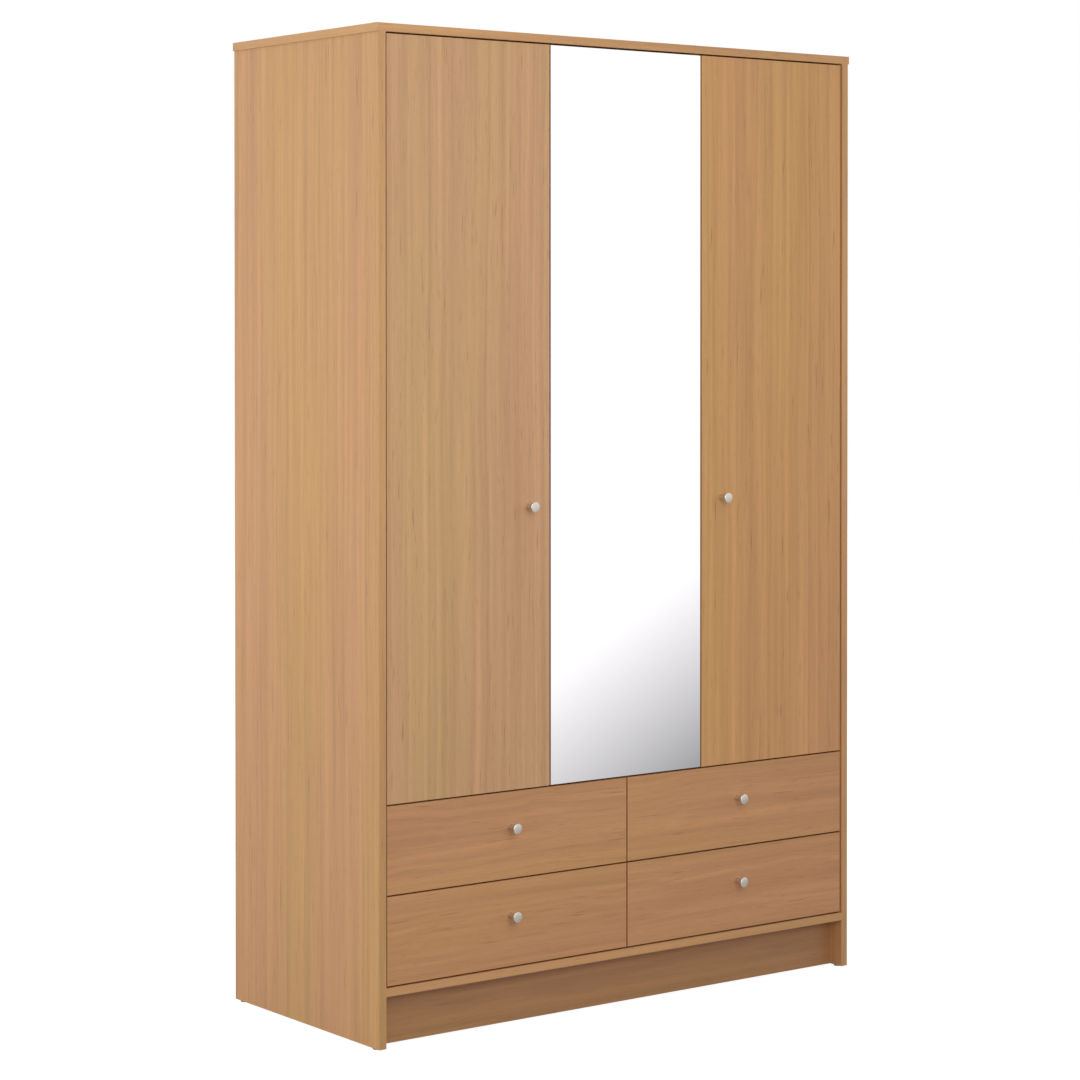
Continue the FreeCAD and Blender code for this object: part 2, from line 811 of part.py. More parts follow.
def build_hanging_rail():
    """Make the oval steel tube between the left side and the wardrobe partition."""
    body = doc.addObject("PartDesign::Body", "rail_body")
    half_width = S.rail_width / 2
    half_height = S.rail_height / 2
    outer = new_sketch(body, "rail_outside", "YZ_Plane")
    draw_outline(outer, oval(half_width, half_height))
    start = -P.inner + S.socket_plate
    length = P.partition_left - S.socket_plate - start
    one_sided_pad(body, "rail_pad", outer, length)
    bore = new_sketch(body, "rail_inside", "YZ_Plane")
    draw_outline(bore, oval(half_width - S.rail_wall, half_height - S.rail_wall))
    centred_feature(body, "PartDesign::Pocket", "rail_bore", bore, length * 3)
    place(body, (start, (P.inner_front + P.inner_back) / 2, P.top_underside - S.rail_drop))
    keep(body, "hanging_rail")


def build_rail_sockets():
    """Make the two sockets that hold the rail's ends."""
    body = doc.addObject("PartDesign::Body", "socket_body")
    half_width = S.rail_width / 2
    half_height = S.rail_height / 2
    plate = new_sketch(body, "socket_plate_outline", "YZ_Plane")
    flange = S.socket_wall + S.socket_flange
    draw_outline(plate, oval(half_width + flange, half_height + flange))
    one_sided_pad(body, "socket_plate_pad", plate, S.socket_plate)
    rim = new_sketch(body, "socket_rim_outline", "YZ_Plane")
    draw_outline(rim, oval(half_width + S.socket_wall, half_height + S.socket_wall))
    one_sided_pad(body, "socket_rim_pad", rim, S.socket_plate + S.socket_depth)
    seat = new_sketch(body, "socket_seat_outline", "YZ_Plane")
    seat.AttachmentOffset = FreeCAD.Placement(Vector(0, 0, S.socket_plate.value), FreeCAD.Rotation())
    bind(seat, "AttachmentOffset.Base.z", S.socket_plate)
    draw_outline(seat, oval(half_width, half_height))
    pocket = body.newObject("PartDesign::Pocket", "socket_seat")
    pocket.Profile = seat
    pocket.Reversed = True
    bind(pocket, "Length", S.socket_depth * 2)
    doc.recompute()
    row = (P.inner_front + P.inner_back) / 2
    level = P.top_underside - S.rail_drop
    left = copy_of(body, "socket_left", (-P.inner, row, level))
    right = copy_of(body, "socket_right", (P.partition_left, row, level), FreeCAD.Rotation(UP, 180))
    keep_group("rail_sockets", [left, right])


def build_shelves():
    """Make the two shelves of the right bay and the pins they rest on."""
    low_x = P.partition_right + S.shelf_side_play
    high_x = P.inner - S.shelf_side_play
    front = P.inner_front + S.shelf_setback
    for label, level in (("shelf_lower", S.lower_shelf_height), ("shelf_upper", S.upper_shelf_height)):
        keep(box(f"{label}_board", (low_x, front, level), (high_x, P.inner_back, level + S.board)), label)
    pins = []
    for index, (_, start, direction) in enumerate(shelf_pin_places()):
        inner_end = along(start, direction, -S.shelf_pin_depth)
        length = S.shelf_pin_depth + S.shelf_pin_reach
        pins.append(cylinder(f"shelf_pin_{index}", inner_end, direction, S.shelf_pin_radius, length))
    keep_group("shelf_pins", pins)


# ---------------------------------------------------------------- knobs
def build_knob_master():
    """Turn the flared knob; it stands out along -Y from the face at y = 0."""
    body = doc.addObject("PartDesign::Body", "knob_body")
    profile = new_sketch(body, "knob_profile", "XY_Plane")
    bore = S.knob_screw_radius
    depth = S.knob_screw_hold + OVERRUN
    reach = S.knob_reach
    head = S.knob_head_radius
    rim_front = reach - S.knob_dome
    rim_back = reach - S.knob_head_depth
    draw_outline(profile, [
        (bore, 0),
        (bore, -depth),
        (0, -depth),
        (0, -reach, S.knob_dome_bow),
        (head - S.knob_rim_round, -rim_front, S.knob_rim_round * QUARTER_BOW),
        (head, -(rim_front - S.knob_rim_round)),
        (head, -rim_back, -S.knob_flare_bow),
        (S.knob_neck_radius, -S.knob_neck_height, -S.knob_foot_bow),
        (S.knob_base_radius, -S.knob_foot),
        (S.knob_base_radius, 0),
    ])
    turned = body.newObject("PartDesign::Revolution", "knob_turned")
    turned.Profile = profile
    turned.ReferenceAxis = (profile, ["V_Axis"])
    turned.Angle = 360
    doc.recompute()
    return body


def build_knob_screw_master():
    """Make the knob's screw; its head sits at y = 0 and its shank runs along -Y."""
    length = S.board + S.knob_screw_hold
    shank = cylinder("knob_screw_shank", (0, 0, 0), FORWARD, S.knob_screw_radius, length)
    head = cylinder("knob_screw_head", (0, 0, 0), BACK, S.knob_screw_head_radius, S.knob_screw_head_height)
    return join("knob_screw_master", "Part::MultiFuse", [shank, head])


KNOB = build_knob_master()
KNOB_SCREW = build_knob_screw_master()


def knob_hole(name, x, level):
    """Make the through hole for a knob's screw."""
    return cylinder(f"{name}_hole", (x, P.door_back, level), FORWARD, S.knob_screw_radius, S.board)


def add_knob(label, x, level):
    """Place a knob with its screw through a board of the front."""
    knob = copy_of(KNOB, f"{label}_turned", (x, P.door_face, level))
    screw = copy_of(KNOB_SCREW, f"{label}_screw", (x, P.door_back, level))
    keep_group(label, [knob, screw])


# ---------------------------------------------------------------- doors
def build_plain_door(side, sign, hinge_set):
    """Make a plain door board with its knob."""
    far = (P.inner - S.reveal) * sign
    near = (P.inner - S.reveal - P.door_width) * sign
    low_x, high_x = (far, near) if sign < 0 else (near, far)
    label = f"{side}_door_panel"
    knob_x = near + S.door_knob_edge * sign
    knob_level = P.door_bottom + S.door_knob_height
    blank = box(f"{label}_blank", (low_x, P.door_face, P.door_bottom), (high_x, P.door_back, P.door_top))
    holes = cup_holes(hinge_set) + [knob_hole(label, knob_x, knob_level)]
    keep(cut(f"{label}_drilled", blank, holes), label)
    add_knob(f"{side}_door_knob", knob_x, knob_level)


def build_mirror_door(hinge_set):
    """Make the middle door: a thinner board with the mirror glass on its face."""
    board_face = P.door_face + S.glass_thickness
    half = P.mirror_half
    blank_low = (-half, board_face, P.door_bottom)
    blank = box("mirror_door_blank", blank_low, (half, P.door_back, P.door_top))
    keep(cut("mirror_door_drilled", blank, cup_holes(hinge_set)), "mirror_door_panel")
    margin = S.glass_margin
    glass_low = (-half + margin, P.door_face, P.door_bottom + margin)
    glass = box("mirror_glass_sheet", glass_low, (half - margin, board_face, P.door_top - margin))
    keep(glass, "mirror_glass")


def build_doors():
    """Make the three door leaves."""
    left, mirror, right = HINGE_SETS
    build_plain_door("left", -1, left)
    build_mirror_door(mirror)
    build_plain_door("right", 1, right)


# ---------------------------------------------------------------- hinges
def build_hinge_screw_master():
    """Make a hinge screw; its head starts at z = 0 and its shank runs along -Z."""
    shank = cylinder("hinge_screw_shank", (0, 0, 0), DOWN, S.hinge_screw_radius, S.hinge_screw_length)
    head = cylinder(
        "hinge_screw_head", (0, 0, 0), UP, S.hinge_screw_head_radius, S.hinge_screw_head_height
    )
    return join("hinge_screw_master", "Part::MultiFuse", [shank, head])


def build_cup_master():
    """Make a hinge cup with its winged flange, x across and y back from the hinge axis."""
    floor = DOOR_BACK - S.cup_depth
    centre = (CUP_ACROSS, floor, 0)
    rim = (CUP_ACROSS, DOOR_BACK, 0)
    half_wing = S.cup_wing_width / 2
    half_span = S.hinge_screw_spacing / 2
    well = cylinder("cup_well", centre, BACK, S.cup_radius, S.cup_depth)
    flange = cylinder("cup_flange", rim, BACK, S.cup_rim_radius, S.cup_flange)
    wing_low = (CUP_ACROSS - half_wing, DOOR_BACK, -half_span)
    wing = box("cup_wing", wing_low, (CUP_ACROSS + half_wing, DOOR_BACK + S.cup_flange, half_span))
    solids = [well, flange, wing]
    holes = []
    for side in (-1, 1):
        end = (CUP_ACROSS, DOOR_BACK, half_span * side)
        solids.append(cylinder(f"cup_wing_end{side + 1}", end, BACK, half_wing, S.cup_flange))
        holes.append(cylinder(f"cup_wing_hole{side + 1}", end, BACK, S.hinge_screw_radius, S.cup_flange))
    inside = (CUP_ACROSS, floor + S.cup_floor, 0)
    holes.append(cylinder("cup_inside", inside, BACK, S.cup_radius - S.cup_wall, S.cup_depth + S.cup_flange))
    return cut("cup_master", join("cup_solid", "Part::MultiFuse", solids), holes)


def link_outline():
    """Return the bent strip's outline: an arm from the pivot, then a toe into the cup."""
    half = S.link_thickness / 2
    first = (cosine(S.link_slope), -sine(S.link_slope))
    steep = S.link_slope + S.link_bend
    second = (cosine(steep), -sine(steep))
    pivot = (S.link_pivot_across, S.link_pivot_back)
    elbow = tuple(start + S.link_arm * part for start, part in zip(pivot, first))
    tip = tuple(start + S.link_toe * part for start, part in zip(elbow, second))
    mitre = half / cosine(S.link_bend / 2)
    middle = S.link_slope + S.link_bend / 2
    spread = (sine(middle), cosine(middle))
    return [
        (pivot[0] + half * first[1], pivot[1] - half * first[0]),
        (elbow[0] - mitre * spread[0], elbow[1] - mitre * spread[1]),
        (tip[0] + half * second[1], tip[1] - half * second[0]),
        (tip[0] - half * second[1], tip[1] + half * second[0]),
        (elbow[0] + mitre * spread[0], elbow[1] + mitre * spread[1]),
        (pivot[0] - half * first[1], pivot[1] + half * first[0]),
    ]


def build_link_master():
    """Make the link that swings on the arm's pin and reaches into the cup."""
    body = doc.addObject("PartDesign::Body", "link_body")
    pivot = (S.link_pivot_across, S.link_pivot_back)
    strip = new_sketch(body, "link_strip", "XY_Plane")
    draw_outline(strip, link_outline())
    centred_feature(body, "PartDesign::Pad", "link_pad", strip, S.link_width)
    eye = new_sketch(body, "link_eye", "XY_Plane")
    draw_circle(eye, pivot, S.link_eye_radius)
    centred_feature(body, "PartDesign::Pad", "link_eye_pad", eye, S.link_width)
    bore = new_sketch(body, "link_bore", "XY_Plane")
    draw_circle(bore, pivot, S.link_pin_radius + S.link_pin_play)
    centred_feature(body, "PartDesign::Pocket", "link_bore_cut", bore, S.link_width * 2)
    return body


def build_arm_master(name, panel_offset):
    """Make a channel arm with its nose pin, for a board that lies at panel_offset."""
    body = doc.addObject("PartDesign::Body", f"{name}_body")
    nose_x = S.link_pivot_across
    nose_y = S.link_pivot_back
    low = panel_offset + S.plate_thickness + S.arm_plate_gap
    high = panel_offset + S.arm_height
    cheeks = new_sketch(body, f"{name}_cheeks", "XY_Plane")
    draw_outline(cheeks, [
        (low, S.arm_length),
        (low, S.arm_neck - S.arm_throat),
        (nose_x - S.arm_nose_under, nose_y - S.arm_nose_drop),
        (nose_x + S.arm_nose_over, nose_y + S.arm_nose_rise),
        (high, S.arm_neck),
        (high, S.arm_length),
    ])
    centred_feature(body, "PartDesign::Pad", f"{name}_cheek_pad", cheeks, S.arm_width)
    nose = new_sketch(body, f"{name}_nose", "XY_Plane")
    draw_circle(nose, (nose_x, nose_y), S.arm_nose_radius)
    centred_feature(body, "PartDesign::Pad", f"{name}_nose_pad", nose, S.arm_width)
    channel = new_sketch(body, f"{name}_channel", "XY_Plane")
    web = high - S.arm_web
    draw_outline(channel, [
        (low - OVERRUN, S.arm_length + OVERRUN),
        (low - OVERRUN, nose_y - S.arm_nose_clear),
        (nose_x + S.arm_nose_clear, nose_y - S.arm_nose_clear),
        (nose_x + S.arm_nose_clear, nose_y + S.arm_nose_clear),
        (web, S.arm_neck - S.arm_channel_step),
        (web, S.arm_length + OVERRUN),
    ])
    centred_feature(body, "PartDesign::Pocket", f"{name}_channel_cut", channel, S.arm_channel)
    pin = new_sketch(body, f"{name}_pin", "XY_Plane")
    draw_circle(pin, (nose_x, nose_y), S.link_pin_radius)
    centred_feature(body, "PartDesign::Pad", f"{name}_pin_pad", pin, S.arm_width)
    return body


def build_plate_master(name, panel_offset):
    """Make a cross-shaped mounting plate with the rib that the arm straddles."""
    top = panel_offset + S.plate_thickness
    half_wing = S.plate_wing / 2
    half_span = S.plate_wing_span / 2
    half_long = S.plate_long / 2
    half_wide = S.plate_long_width / 2
    half_rib = S.plate_rib_width / 2
    centre = S.plate_back
    wing = box(
        f"{name}_wing", (panel_offset, centre - half_wing, -half_span), (top, centre + half_wing, half_span)
    )
    long_low = (panel_offset, centre - half_long + S.plate_wing / 2, -half_wide)
    long_bar = box(f"{name}_long", long_low, (top, centre + half_long, half_wide))
    rib_low = (top, centre - half_wing / 2, -half_rib)
    rib_high = (panel_offset + S.arm_height - S.arm_web, centre + half_long, half_rib)
    rib = box(f"{name}_rib", rib_low, rib_high)
    holes = []
    for side in (-1, 1):
        start = (panel_offset, centre, S.plate_screw_spacing / 2 * side)
        hole = cylinder(f"{name}_hole{side + 1}", start, RIGHT, S.hinge_screw_radius, S.plate_thickness)
        holes.append(hole)
    return cut(f"{name}_master", join(f"{name}_solid", "Part::MultiFuse", [wing, long_bar, rib]), holes)


def screw_copies(screw, hinge_set, name, across, back, spacing, out, height):
    """Place the two screws of one cup or one plate."""
    copies = []
    for side in (-1, 1):
        position = hinge_set.point(across, back, height + spacing / 2 * side)
        copies.append(copy_of(screw, f"{name}_screw{side + 1}", position, FreeCAD.Rotation(UP, out)))
    return copies


def build_cups(hinge_set, cup, screw):
    """Place the three cups of one door with their screws."""
    pieces = []
    for index, height in enumerate(P.hinge_heights):
        name = f"{hinge_set.door}_cup{index}"
        position = hinge_set.point(0, 0, height)
        pieces.append(copy_of(cup, name, position, hinge_set.rotation()))
        head = DOOR_BACK + S.cup_flange
        pieces += screw_copies(
            screw, hinge_set, name, CUP_ACROSS, head, S.hinge_screw_spacing, BACK, height
        )
    keep_group(f"{hinge_set.door}_door_hinge_cups", pieces)


def build_hinges():
    """Make the hinges' cups, links, arms and mounting plates."""
    cup = build_cup_master()
    link = build_link_master()
    screw = build_hinge_screw_master()
    arms = {}
    plates = {}
    for name, offset in (("inset", HINGE_SETS[0].panel_offset), ("overlay", HINGE_SETS[1].panel_offset)):
        arms[name] = build_arm_master(f"{name}_arm", offset)
        plates[name] = build_plate_master(f"{name}_plate", offset)
    arm_copies = []
    plate_copies = []
    for hinge_set in HINGE_SETS:
        build_cups(hinge_set, cup, screw)
        fitting = "overlay" if hinge_set.door == "mirror" else "inset"
        links = []
        for index, height in enumerate(P.hinge_heights):
            name = f"{hinge_set.door}_{index}"
            position = hinge_set.point(0, 0, height)
            turn = hinge_set.rotation()
            links.append(copy_of(link, f"link_{name}", position, turn))
            arm_copies.append(copy_of(arms[fitting], f"arm_{name}", position, turn))
            plate_copies.append(copy_of(plates[fitting], f"plate_{name}", position, turn))
            across = hinge_set.panel_offset + S.plate_thickness
            out = hinge_set.across_direction(1)
            plate_copies += screw_copies(
                screw, hinge_set, f"plate_{name}", across, S.plate_back, S.plate_screw_spacing, out, height
            )
        keep_group(f"{hinge_set.door}_hinge_links", links)
    keep_group("hinge_arms", arm_copies)
    keep_group("hinge_plates", plate_copies)


# ---------------------------------------------------------------- drawers
class DrawerPlace:
    """Where one drawer sits: its column, its row and the lines its box is built on."""

    def __init__(self, row, column):
        self.label = f"{row}_{column}_drawer"
        self.sign = -1 if column == "left" else 1
        self.bottom = P.lower_row if row == "lower" else P.upper_row
        middle = (P.inner + S.board / 2) / 2
        self.middle = middle * self.sign
        self.half_box = (P.inner - S.board / 2) / 2 - S.box_gap
        self.front_middle = (S.reveal / 2 + P.drawer_width / 2) * self.sign
        self.box_low = self.bottom + S.box_lift
        self.box_front = P.door_back
        self.box_back = P.door_back + S.box_depth


def drawer_places():
    """List the four drawers."""
    return [DrawerPlace(row, column) for row in ("lower", "upper") for column in ("left", "right")]


def build_drawer_front(drawer):
    """Make a drawer front with the groove for its bottom and the hole for its knob."""
    half = P.drawer_width / 2
    low = (drawer.front_middle - half, P.door_face, drawer.bottom)
    high = (drawer.front_middle + half, P.door_back, drawer.bottom + S.drawer_front_height)
    label = f"{drawer.label}_front"
    level = drawer.bottom + S.drawer_front_height / 2 + S.drawer_knob_rise
    reach = drawer.half_box - S.box_side + S.bottom_groove
    groove_low = drawer.box_low + S.bottom_height
    groove = box(
        f"{label}_groove",
        (drawer.middle - reach, P.door_back - S.bottom_groove, groove_low),
        (drawer.middle + reach, P.door_back, groove_low + S.bottom_sheet),
    )
    hole = knob_hole(label, drawer.front_middle, level)
    keep(cut(f"{label}_cut", box(f"{label}_blank", low, high), [groove, hole]), label)
    add_knob(f"{drawer.label}_knob", drawer.front_middle, level)


def build_drawer_side(drawer, side, sign):
    """Make a drawer side, grooved outside for the runner and inside for the bottom."""
    label = f"{drawer.label}_{side}_side"
    body = doc.addObject("PartDesign::Body", f"{label}_body")
    profile = new_sketch(body, f"{label}_profile", "XZ_Plane")
    thick = S.box_side
    height = S.box_side_height
    runner_low = S.runner_rise - S.runner_groove_height / 2
    runner_high = S.runner_rise + S.runner_groove_height / 2
    sheet_low = S.bottom_height
    sheet_high = S.bottom_height + S.bottom_sheet
    inner = thick - S.bottom_groove
    corners = [
        (0, 0), (thick, 0),
        (thick, sheet_low), (inner, sheet_low), (inner, sheet_high), (thick, sheet_high),
        (thick, height), (0, height),
        (0, runner_high), (S.runner_groove_depth, runner_high),
        (S.runner_groove_depth, runner_low), (0, runner_low),
    ]
    draw_outline(profile, corners)
    centred_feature(body, "PartDesign::Pad", f"{label}_pad", profile, S.box_depth)
    x = drawer.middle + drawer.half_box * sign
    y = (drawer.box_front + drawer.box_back) / 2
    turn = FreeCAD.Rotation(UP, 0) if sign < 0 else FreeCAD.Rotation(UP, 180)
    place(body, (x, y, drawer.box_low), turn)
    keep(body, label)


def build_drawer_back_and_bottom(drawer):
    """Make the drawer's back and the hardboard bottom that runs under it."""
    inner = drawer.half_box - S.box_side
    sheet_low = drawer.box_low + S.bottom_height
    sheet_high = sheet_low + S.bottom_sheet
    back_low = (drawer.middle - inner, drawer.box_back - S.box_side, sheet_high)
    back_high = (drawer.middle + inner, drawer.box_back, sheet_high + S.box_back_height)
    label = f"{drawer.label}_back"
    keep(box(f"{label}_board", back_low, back_high), label)
    reach = inner + S.bottom_groove
    bottom_low = (drawer.middle - reach, drawer.box_front - S.bottom_groove, sheet_low)
    label = f"{drawer.label}_bottom"
    keep(box(f"{label}_sheet", bottom_low, (drawer.middle + reach, drawer.box_back, sheet_high)), label)


def build_drawers():
    """Make the four drawers and the runner strips they slide on."""
    strips = []
    for drawer in drawer_places():
        build_drawer_front(drawer)
        build_drawer_side(drawer, "left", -1)
        build_drawer_side(drawer, "right", 1)
        build_drawer_back_and_bottom(drawer)
        wall = drawer.half_box + S.box_gap
        low_z = drawer.box_low + S.runner_rise - S.runner_height / 2
        start = P.front + S.runner_start
        for sign in (-1, 1):
            outer = drawer.middle + wall * sign
            inner = drawer.middle + (wall - S.runner_depth) * sign
            low_x, high_x = (outer, inner) if sign < 0 else (inner, outer)
            high = (high_x, start + S.runner_length, low_z + S.runner_height)
            strips.append(box(f"{drawer.label}_runner{sign + 1}", (low_x, start, low_z), high))
    keep_group("drawer_runners", strips)


# ---------------------------------------------------------------- checks and files
def check_document():
    """Stop if any object failed to recompute."""
    for feature in doc.Objects:
        if "Invalid" in feature.State or "Error" in feature.State:
            raise RuntimeError(f"{feature.Name} failed: {feature.State}")


def write_parts():
    """Check each finished sub-part and write it to its own file."""
    os.makedirs("parts", exist_ok=True)
    for feature in nodes:
        shape = feature.Shape
        if shape.isNull() or not shape.isValid() or not shape.Solids:
            raise RuntimeError(f"{feature.Label} has no valid solid")
        shape.exportStep(os.path.join("parts", f"{feature.Label}.step"))
        print(f"{feature.Label}: {len(shape.Solids)} solid(s), {shape.Volume / 1000:.1f} cm3")


build_upright_boards()
build_level_boards()
build_back_sheets()
build_glides()
build_wall_brackets()
build_cam_hardware()
build_hanging_rail()
build_rail_sockets()
build_shelves()
build_doors()
build_hinges()
build_drawers()
doc.recompute()
check_document()
write_parts()
print(f"{len(nodes)} sub-parts")
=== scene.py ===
"""Looks of a flat-pack wardrobe: three inset doors, the middle one a mirror, over four drawers.

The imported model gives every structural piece. This script gives each of them its finish, adds the
heads of screws and nails, and sets a plain studio around the wardrobe.
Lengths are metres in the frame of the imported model, unless a name ends in _mm.
"""

import logging
import math
from dataclasses import dataclass, field
from enum import Enum

import bpy
from mathutils import Matrix, Vector


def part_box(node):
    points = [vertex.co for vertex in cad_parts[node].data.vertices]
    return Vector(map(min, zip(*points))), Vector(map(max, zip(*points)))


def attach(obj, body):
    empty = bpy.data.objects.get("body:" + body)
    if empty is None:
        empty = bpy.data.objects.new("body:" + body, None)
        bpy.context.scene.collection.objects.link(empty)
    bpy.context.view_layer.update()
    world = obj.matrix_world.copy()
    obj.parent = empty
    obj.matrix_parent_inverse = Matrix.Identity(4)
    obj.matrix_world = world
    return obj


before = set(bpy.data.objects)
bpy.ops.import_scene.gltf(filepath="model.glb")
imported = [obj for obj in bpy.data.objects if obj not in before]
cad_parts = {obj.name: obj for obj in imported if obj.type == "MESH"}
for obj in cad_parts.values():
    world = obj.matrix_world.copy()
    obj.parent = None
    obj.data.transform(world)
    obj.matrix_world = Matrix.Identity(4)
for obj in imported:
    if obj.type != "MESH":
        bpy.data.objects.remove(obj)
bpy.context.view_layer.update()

LOG = logging.getLogger("wardrobe")
MM = 0.001
PER_MM = 1000.0
LOOKS_ALONG = 0.7  # a normal with more than this on an axis belongs to a face that looks along it
ROWS = ("lower", "upper")
COLUMNS = ("left", "right")


# ---------------------------------------------------------------- colours and nodes
def linear(hex_colour: str, gain: float = 1.0) -> tuple[float, float, float, float]:
    """Turn an sRGB hex colour into a linear one.

    Args:
        hex_colour: a colour such as "#C8A070".
        gain: how much lighter or darker to make it.

    Returns:
        Red, green, blue and alpha in linear light.
    """
    channels = [int(hex_colour[start:start + 2], 16) / 255 for start in (1, 3, 5)]
    light = [c / 12.92 if c <= 0.04045 else ((c + 0.055) / 1.055) ** 2.4 for c in channels]
    return (*(min(value * gain, 1.0) for value in light), 1.0)


def add_node(
    tree: bpy.types.NodeTree, kind: str, links: dict[str | int, object] | None = None, **settings: object,
) -> bpy.types.NodeOutputs:
    """Add one node with its settings and links.

    Args:
        tree: the node tree to add to.
        kind: the node's type, without the leading ShaderNode.
        links: input name or number to a socket to link from, or to a value to set.
        settings: attributes of the node itself.

    Returns:
        The new node's outputs.
    """
    node = tree.nodes.new(f"ShaderNode{kind}")
    for name, value in settings.items():
        setattr(node, name, value)
    for key, value in (links or {}).items():
        if isinstance(value, bpy.types.NodeSocket):
            tree.links.new(value, node.inputs[key])
        else:
            node.inputs[key].default_value = value
    return node.outputs


def start_material(name: str) -> tuple[bpy.types.Material, bpy.types.NodeTree]:
    """Make an empty node material."""
    material = bpy.data.materials.new(name)
    material.use_nodes = True
    material.node_tree.nodes.clear()
    return material, material.node_tree


def close_material(tree: bpy.types.NodeTree, inputs: dict[str, object]) -> None:
    """Add the Principled shader with its inputs, and the output."""
    shader = add_node(tree, "BsdfPrincipled", inputs)
    add_node(tree, "OutputMaterial", {"Surface": shader["BSDF"]})


# ---------------------------------------------------------------- finishes
class Grain(Enum):
    """Which way the grain of a board runs, as the axes in the order across, through, along."""

    ACROSS = "YZX"
    DEEP = "XZY"
    UPRIGHT = "XYZ"


